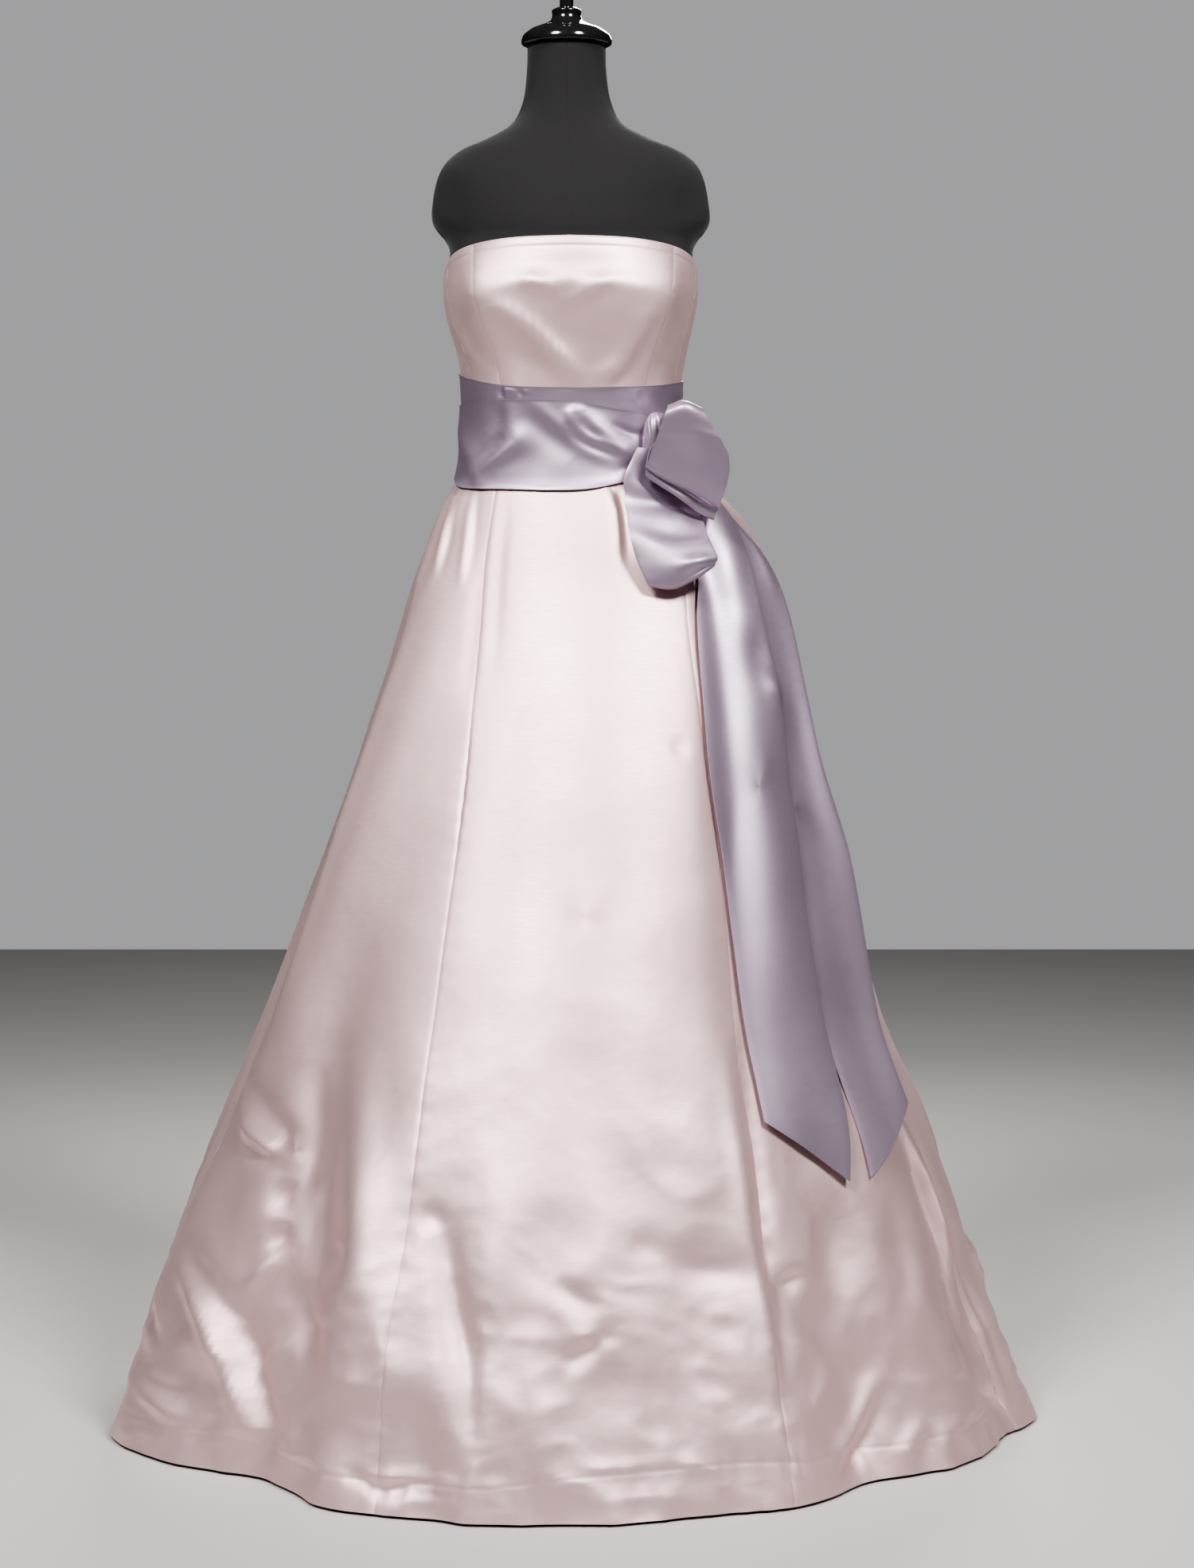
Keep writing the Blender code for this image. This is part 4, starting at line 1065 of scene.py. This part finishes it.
def knotGrid():
    polar = np.linspace(-0.497, 0.497, knot["rows"])[:, None] * math.pi
    around = 2 * math.pi * np.arange(knot["columns"]) / knot["columns"]
    swirl = around + knot["swirl"] * polar
    folds = sum(size * np.cos(count * swirl + phase) for count, size, phase in knot["folds"])
    folds = folds * np.cos(polar) ** 0.6
    swell = 1.0 - knot["foldDepth"] / knot["wide"] * (0.9 + 0.55 * folds)
    x = knot["wide"] * squared(np.cos(polar) * np.cos(around)) * swell
    y = (knot["front"] - knot["back"]) / 2 * squared(np.cos(polar) * np.sin(around)) * swell
    z = knot["tall"] * squared(np.sin(polar)) + 0.0 * around
    sine = math.sin(math.radians(knot["angle"]))
    cosine = math.cos(math.radians(knot["angle"]))
    middle = gownPoint(knot["angle"], knot["height"], (knot["back"] + knot["front"]) / 2)
    return middle + np.stack([y * sine - x * cosine, -y * cosine - x * sine, z], axis=-1)


addCloth(
    "sashKnot", "sash_knot", knotGrid()[:, ::-1], knot["cloth"], "lavender_satin",
    closed=True,
)

# The bow's loops and the two tails. A row is one station along the ribbon: its left edge, its
# middle and its right edge, each as angle, height and distance off the gown.
upperLoop = (
    (56, 1.136, 0.0056, 61, 1.136, 0.0058, 66, 1.133, 0.0056),
    (46.7, 1.152, 0.0273, 51.2, 1.158, 0.0308, 57.3, 1.153, 0.0328),
    (35.8, 1.153, 0.0612, 39.6, 1.158, 0.0719, 45.5, 1.152, 0.0745),
    (30.8, 1.148, 0.0852, 34.9, 1.153, 0.0997, 40.9, 1.146, 0.1033),
    (28.8, 1.127, 0.0804, 35.9, 1.128, 0.1011, 43.7, 1.122, 0.1092),
    (28.3, 1.115, 0.0743, 36.6, 1.113, 0.097, 46, 1.109, 0.1094),
    (27.6, 1.105, 0.0687, 37.1, 1.098, 0.0902, 47.9, 1.094, 0.1075),
    (26.8, 1.093, 0.0615, 36.3, 1.079, 0.0787, 47.8, 1.074, 0.0961),
    (26.4, 1.089, 0.0579, 35.1, 1.07, 0.0707, 43.5, 1.053, 0.0705),
    (25.8, 1.086, 0.0555, 33.4, 1.063, 0.0618, 42.1, 1.04, 0.0595),
    (25.3, 1.08, 0.0515, 31.8, 1.057, 0.0532, 41.4, 1.033, 0.0531),
    (26.1, 1.074, 0.0447, 31.9, 1.048, 0.0426, 42, 1.025, 0.0398),
    (28.4, 1.081, 0.0389, 34.9, 1.058, 0.0361, 45.1, 1.033, 0.0332),
    (32.6, 1.105, 0.0371, 43.6, 1.093, 0.0424, 54.3, 1.079, 0.0482),
    (41, 1.122, 0.0335, 46, 1.116, 0.032, 54, 1.106, 0.024),
)
lowerLoop = (
    (29, 1.107, 0.0255, 35, 1.105, 0.0285, 41, 1.101, 0.0302),
    (19.9, 1.078, 0.0366, 30.2, 1.066, 0.0285, 41.4, 1.058, 0.0228),
    (13.9, 1.05, 0.0261, 28.6, 1.041, 0.018, 41.9, 1.033, 0.0229),
    (12.4, 1.03, 0.0289, 24.9, 1.022, 0.0276, 38, 1.017, 0.0404),
    (11.5, 1.008, 0.0322, 23, 0.998, 0.0376, 34.8, 1.002, 0.052),
    (12.5, 0.98, 0.0252, 22.7, 0.975, 0.0378, 34.6, 0.984, 0.0548),
    (14.7, 0.957, 0.0195, 22.7, 0.954, 0.0268, 34, 0.976, 0.0498),
    (15.6, 0.951, 0.0145, 23.4, 0.949, 0.0186, 34.2, 0.973, 0.0426),
    (16.7, 0.958, 0.0117, 23.8, 0.956, 0.0138, 33.9, 0.978, 0.0346),
    (19, 1, 0.01, 26, 1, 0.015, 35, 1.005, 0.024),
    (24, 1.045, 0.008, 30, 1.045, 0.007, 37, 1.045, 0.009),
    (32, 1.074, 0.009, 37, 1.076, 0.01, 42, 1.0775, 0.012),
)
frontTail = (
    (54, 1.086, 0.0056, 57, 1.086, 0.0058, 61, 1.085, 0.0056),
    (48, 1.045, 0.0085, 55, 1.043, 0.009, 63, 1.04, 0.009),
    (40, 1, 0.0085, 50, 0.998, 0.011, 60, 0.995, 0.009),
    (33, 0.95, 0.008, 45, 0.948, 0.01, 56, 0.945, 0.009),
    (30, 0.9, 0.008, 43, 0.9, 0.0105, 55.5, 0.9, 0.009),
    (29.5, 0.815, 0.0075, 43, 0.814, 0.0085, 56.5, 0.812, 0.01),
    (29.8, 0.747, 0.0075, 42, 0.746, 0.0085, 54.5, 0.745, 0.009),
    (31.6, 0.655, 0.0075, 42, 0.652, 0.0085, 53, 0.649, 0.009),
    (32.2, 0.58, 0.0075, 42, 0.577, 0.0085, 51.5, 0.573, 0.009),
    (32.7, 0.498, 0.0075, 42, 0.494, 0.0085, 51, 0.489, 0.009),
    (33, 0.434, 0.0075, 42, 0.428, 0.0085, 50.5, 0.423, 0.009),
    (32.8, 0.4, 0.0075, 41, 0.384, 0.0085, 49, 0.365, 0.009),
    (32.6, 0.379, 0.008, 40, 0.343, 0.0085, 46.5, 0.307, 0.009),
)
backTail = (
    (63, 1.085, 0.0056, 67, 1.085, 0.0058, 71, 1.083, 0.0056),
    (58, 1.05, 0.0035, 62, 1.05, 0.0035, 66, 1.05, 0.0035),
    (55, 1.025, 0.0035, 62, 1.023, 0.0035, 69, 1.021, 0.004),
    (52, 1, 0.0035, 66, 0.998, 0.004, 75.5, 0.996, 0.007),
    (50, 0.955, 0.0035, 64, 0.953, 0.005, 74, 0.95, 0.011),
    (50, 0.9, 0.0035, 63, 0.898, 0.005, 71.6, 0.896, 0.0144),
    (50, 0.82, 0.0035, 62, 0.818, 0.005, 69.8, 0.816, 0.0166),
    (50, 0.745, 0.0035, 61, 0.745, 0.007, 68.1, 0.747, 0.0213),
    (50.5, 0.65, 0.0035, 60, 0.65, 0.011, 66.6, 0.65, 0.0338),
    (51, 0.545, 0.004, 59.5, 0.544, 0.013, 65.3, 0.544, 0.0316),
    (51.5, 0.47, 0.004, 59.4, 0.469, 0.0125, 64.4, 0.468, 0.0283),
    (51.5, 0.415, 0.0045, 58.8, 0.418, 0.0123, 64.1, 0.424, 0.0275),
    (51.3, 0.35, 0.005, 58.4, 0.371, 0.0127, 63.8, 0.396, 0.027),
    (51, 0.307, 0.005, 57.8, 0.339, 0.0124, 63.7, 0.376, 0.0264),
)
ribbon = {"loopCloth": 0.0011, "tailCloth": 0.0009, "edgeRoll": 0.0004, "rollWidth": 0.03}

# Soft dents in a ribbon: station along it, place across from -1 to 1, widths each way and depth
Dent = namedtuple("Dent", "along across alongWidth acrossWidth depth")
frontTailDents = rowsOf(
    Dent,
    (2.2, 0, 0.9, 0.6, -0.003),
    (6, 0, 1.6, 1.2, -0.004),
    (4.35, 0.55, 0.35, 0.45, 0.0044),
    (4.7, 0.8, 0.18, 0.28, -0.005),
    (5.7, 0.5, 0.6, 0.4, 0.002),
    (3.4, -0.3, 0.6, 0.5, 0.0016),
    (7.4, 0.2, 0.9, 0.6, -0.0016),
    (9.3, -0.2, 0.8, 0.6, 0.0014),
)
backTailDents = rowsOf(
    Dent,
    (3, 0.85, 0.8, 0.2, 0.0026),
    (3.4, 0.35, 0.7, 0.35, -0.003),
    (6.2, 0.4, 0.8, 0.5, 0.0018),
    (8.3, 0.1, 0.7, 0.6, -0.0016),
)
upperLoopDents = rowsOf(
    Dent,
    (5, 0.1, 1.5, 0.6, -0.0008),
    (9.9, 0, 0.55, 3, 0.0058),
)
lowerLoopDents = rowsOf(
    Dent,
    (2.6, 0.2, 0.35, 0.5, -0.003),
    (3.5, 0.1, 0.35, 0.7, 0.0035),
    (5, 0.45, 0.35, 0.35, -0.0045),
    (5.75, 0.6, 0.25, 0.4, 0.002),
)


def ribbonGrid(stations, steps, across, dents):
    at = np.linspace(0, len(stations) - 1, steps + 1)
    table = smoothCurve(np.arange(len(stations)), stations, at)
    share = np.linspace(0, 2, across + 1)
    share = share + 0.05 * np.sin(math.pi * share)  # columns closer at both edges
    points = gownPoint(*(smoothCurve([0, 1, 2], table[:, field::3].T, share).T for field in range(3)))
    side = share - 1
    at = at[:, None]
    relief = ribbon["edgeRoll"] * bell(1 - np.abs(side), ribbon["rollWidth"]) + 0.0 * at
    for dent in dents:
        spot = bell(at - dent.along, dent.alongWidth) * bell(side - dent.across, dent.acrossWidth)
        relief = relief + dent.depth * spot
    return points + gridNormals(points, False) * relief[..., None]


loops = ("loopCloth", "folded", "sashKnot")
tails = ("tailCloth", "hung", "sashLowerWrap")
for title, node, stations, steps, across, dents, (cloth, held, restsOn) in (
    ("bowLoopUpper", "bow_loop_upper", upperLoop, 150, 40, upperLoopDents, loops),
    ("bowLoopLower", "bow_loop_lower", lowerLoop, 170, 40, lowerLoopDents, loops),
    ("sashTailFront", "sash_tail_front", frontTail, 200, 30, frontTailDents, tails),
    ("sashTailBack", "sash_tail_back", backTail, 200, 30, backTailDents, tails),
):
    points = ribbonGrid(stations, steps, across, dents)
    addCloth(title, node, points, ribbon[cloth], "lavender_satin", offset=0.0)
print("bow tied")

# The dress form
form = {
    "clearance": 0.0032,    # from the gown's outside to the form, past the bodice's wall
    "cupEase": 0.15,
    "armRise": 0.022,
    "armFrom": 1.330,
    "armFull": 1.370,
    "armTo": 1.445,
    "armWidth": 18.0,
    "seamDepth": 0.0007,
    "seamWidth": 0.0016,
    "bodyBottom": 1.076,    # between these heights the form follows the gown
    "bodyTop": 1.350,
}
formSections = rowsOf(
    Section,
    (0.8, -0.138, 0.146, 0.098, 0.108),
    (0.812, -0.15, 0.158, 0.106, 0.12),
    (0.85, -0.158, 0.165, 0.112, 0.134),
    (0.9, -0.161, 0.168, 0.117, 0.142),
    (0.95, -0.156, 0.164, 0.117, 0.137),
    (1, -0.144, 0.153, 0.112, 0.122),
    (1.045, -0.13, 0.139, 0.104, 0.103),
    (1.076, -0.1236, 0.135, 0.1, 0.093),
    (1.35, -0.1311, 0.1421, 0.1031, 0.0951),
    (1.385, -0.136, 0.145, 0.095, 0.096),
    (1.42, -0.143, 0.152, 0.081, 0.091),
    (1.438, -0.138, 0.147, 0.073, 0.087),
    (1.452, -0.121, 0.128, 0.067, 0.082),
    (1.464, -0.093, 0.098, 0.062, 0.077),
    (1.48, -0.065, 0.067, 0.057, 0.069),
    (1.505, -0.051, 0.052, 0.052, 0.058),
    (1.54, -0.046, 0.046, 0.048, 0.05),
    (1.5711, -0.045, 0.045, 0.046, 0.047),
)


def formGrid():
    seamPlaces = np.array([-90.0, 0.0, 90.0, 180.0])
    besideSeam = np.array([-1.2, -0.7, -0.35, 0.35, 0.7, 1.2])
    angles = np.concatenate([np.arange(-180.0, 180.0, 2.5), np.add.outer(seamPlaces, besideSeam).ravel()])
    angles = np.unique(np.round(turn(angles, 0.0), 3))
    heights = spread(
        (0.8005, 0.812, 5), (0.820, 1.070, 44), (1.076, 1.350, 70), (1.354, 1.480, 48), (1.484, 1.5708, 26)
    )
    angle, height = np.meshgrid(angles, heights)
    inward = form["clearance"] + form["cupEase"] * np.maximum(cupRise(angle, height), 0.0)
    under = gownPoint(angle, height, -inward)
    free = ringPoint(angle, height, sectionAt(formSections, height), 0.0)
    within = (height >= form["bodyBottom"]) & (height <= form["bodyTop"])
    points = np.where(within[..., None], under, free)
    share = smoothStep((height - form["armFrom"]) / (form["armFull"] - form["armFrom"]))
    share = share * smoothStep((form["armTo"] - height) / (form["armTo"] - form["armFull"]))
    side = np.minimum(np.abs(turn(angle, 90.0)), np.abs(turn(angle, -90.0)))
    beside = np.min(np.abs(turn(angle[..., None], seamPlaces)), axis=-1) * metresPerDegree(form["bodyTop"])
    out = form["armRise"] * share * bell(side, form["armWidth"])
    out = out - form["seamDepth"] * bell(beside, form["seamWidth"])
    points[..., 0] += out * np.sin(np.radians(angle))
    points[..., 1] -= out * np.cos(np.radians(angle))
    return points


def capped(name, points):
    # a closed skin over rings of points, with both ends filled
    rows, count = points.shape[:2]
    index = np.arange(rows * count).reshape(rows, count)
    index = np.hstack([index, index[:, :1]])
    faces = quads(index[:-1, :-1], index[:-1, 1:], index[1:, 1:], index[1:, :-1]).tolist()
    faces.append(list(range(count))[::-1])
    faces.append(list(range((rows - 1) * count, rows * count)))
    return smoothMesh(name, points.reshape(-1, 3), faces, sharpAngle=40)


placePiece("formBody", capped("formBody", formGrid()), "black_jersey", "form_torso")

# Turned pieces, as (radius, height) from the bottom up
turnedPieces = {
    "formNeckCap": ("form_neck_cap", "gloss_black", (
        (0.0488, 1.5714), (0.0506, 1.5718), (0.0520, 1.5734), (0.0520, 1.5774), (0.0495, 1.5830),
        (0.0400, 1.5900), (0.0280, 1.5945), (0.0190, 1.5990), (0.0165, 1.6050), (0.0170, 1.6110),
        (0.0120, 1.6138),
    )),
    "formFinial": ("form_finial", "gloss_black", (
        (0.0076, 1.6144), (0.0080, 1.6150), (0.0080, 1.6300), (0.0110, 1.6335), (0.0150, 1.6390),
        (0.0165, 1.6460), (0.0150, 1.6530), (0.0100, 1.6590), (0.0020, 1.6610),
    )),
    "formPole": ("form_pole", "black_iron", (
        (0.0125, 0.0343), (0.0125, 0.3000), (0.0125, 0.7997),
    )),
    "formBase": ("form_base", "black_iron", (
        (0.2010, 0.0), (0.2040, 0.0012), (0.2050, 0.0045), (0.2050, 0.0115), (0.2030, 0.0145),
        (0.2000, 0.0160), (0.1200, 0.0210), (0.0400, 0.0260), (0.0270, 0.0290), (0.0220, 0.0335),
    )),
}
turnedCurve = 0.65  # how far the profile's corners are rounded, from straight to a smooth curve


def turnedGrid(profile, count=96, steps=7):
    at = np.linspace(0, len(profile) - 1, (len(profile) - 1) * steps + 1)
    places = np.arange(len(profile))
    rings = np.array(profile)
    straight = np.stack([np.interp(at, places, rings[:, k]) for k in (0, 1)], axis=1)
    rings = straight * (1 - turnedCurve) + smoothCurve(places, rings, at) * turnedCurve
    around = 2 * math.pi * np.arange(count) / count
    x = rings[:, :1] * np.cos(around)
    y = rings[:, :1] * np.sin(around)
    return np.stack([x, y, rings[:, 1:] + 0.0 * x], axis=-1)


for title, (node, slot, profile) in turnedPieces.items():
    placePiece(title, capped(title, turnedGrid(profile)), slot, node)
print("dress form stood")

# Floor, lights and camera
studio = {
    "keyPower": 58.0,
    "leftKey": (-1.60, -2.70, 3.90),
    "rightKey": (1.90, -2.60, 3.90),
    "backPower": 22.0,
    "backKey": (0.40, 3.60, 2.80),
    "keySize": 1.2,
    "keySpread": 90.0,
    "aim": (0.03, 0.0, 1.20),
    "skyLight": 0.06,
    "skyAngle": 120.0,
    "worldColour": (0.80, 0.80, 0.82, 1.0),
    "ambient": 0.015,
    "backdrop": 0.42,
    "floorSize": 9.0,
    "floorHeight": -0.0005,
}
paleFloor = makeSurface(
    "paleFloor", mottleGroup, None,
    {
        "Dark Tone": (0.52, 0.51, 0.50, 1.0),
        "Light Tone": (0.56, 0.55, 0.54, 1.0),
        "Mottle Scale": 1.4,
        "Mottle Detail": 4.0,
        "Roughness Spread": 0.15,
        "Base Roughness": 0.55,
    },
    {"Specular IOR Level": 0.3},
)
half = studio["floorSize"] / 2
corners = [(x * half, y * half, studio["floorHeight"]) for x, y in ((-1, -1), (1, -1), (1, 1), (-1, 1))]
floorMesh = bpy.data.meshes.new("floor")
floorMesh.from_pydata(corners, [], [(0, 1, 2, 3)])
floorMesh.materials.append(paleFloor)
floor = bpy.data.objects.new("floor", floorMesh)
bpy.context.scene.collection.objects.link(floor)


def aimed(name, data, place, target):
    # a lamp or a camera at its place, turned towards a point
    item = bpy.data.objects.new(name, data)
    item.location = place
    item.rotation_euler = (Vector(target) - Vector(place)).to_track_quat("-Z", "Y").to_euler()
    bpy.context.scene.collection.objects.link(item)
    return item


for title, power in (("leftKey", "keyPower"), ("rightKey", "keyPower"), ("backKey", "backPower")):
    lamp = bpy.data.lights.new(title, "AREA")
    lamp.shape = "DISK"
    lamp.size = studio["keySize"]
    lamp.energy = studio[power]
    lamp.spread = math.radians(studio["keySpread"])
    aimed(title, lamp, studio[title], studio["aim"])

sky = bpy.data.lights.new("skyLight", "SUN")
sky.energy = studio["skyLight"]
sky.angle = math.radians(studio["skyAngle"])
bpy.context.scene.collection.objects.link(bpy.data.objects.new("skyLight", sky))

world = bpy.data.worlds.new("studio")
world.use_nodes = True
worldTree = world.node_tree
background = worldTree.nodes["Background"]
background.inputs["Color"].default_value = studio["worldColour"]
seen = addNode(worldTree, "LightPath", (-600, 0)).outputs["Is Camera Ray"]
brightness = mathNode(worldTree, "MULTIPLY_ADD", (-300, 0), seen, studio["backdrop"], studio["ambient"])
worldTree.links.new(brightness, background.inputs["Strength"])
bpy.context.scene.world = world
bpy.context.scene.view_settings.look = "AgX - Medium High Contrast"

view = {"eye": (0.035, -3.9, 0.98), "aim": (0.035, 0.0, 0.71905), "lens": 76.8, "sensor": 36.0}
cameraData = bpy.data.cameras.new("camera")
cameraData.lens = view["lens"]
cameraData.sensor_width = view["sensor"]
bpy.context.scene.camera = aimed("camera", cameraData, view["eye"], view["aim"])

print("scene ready")
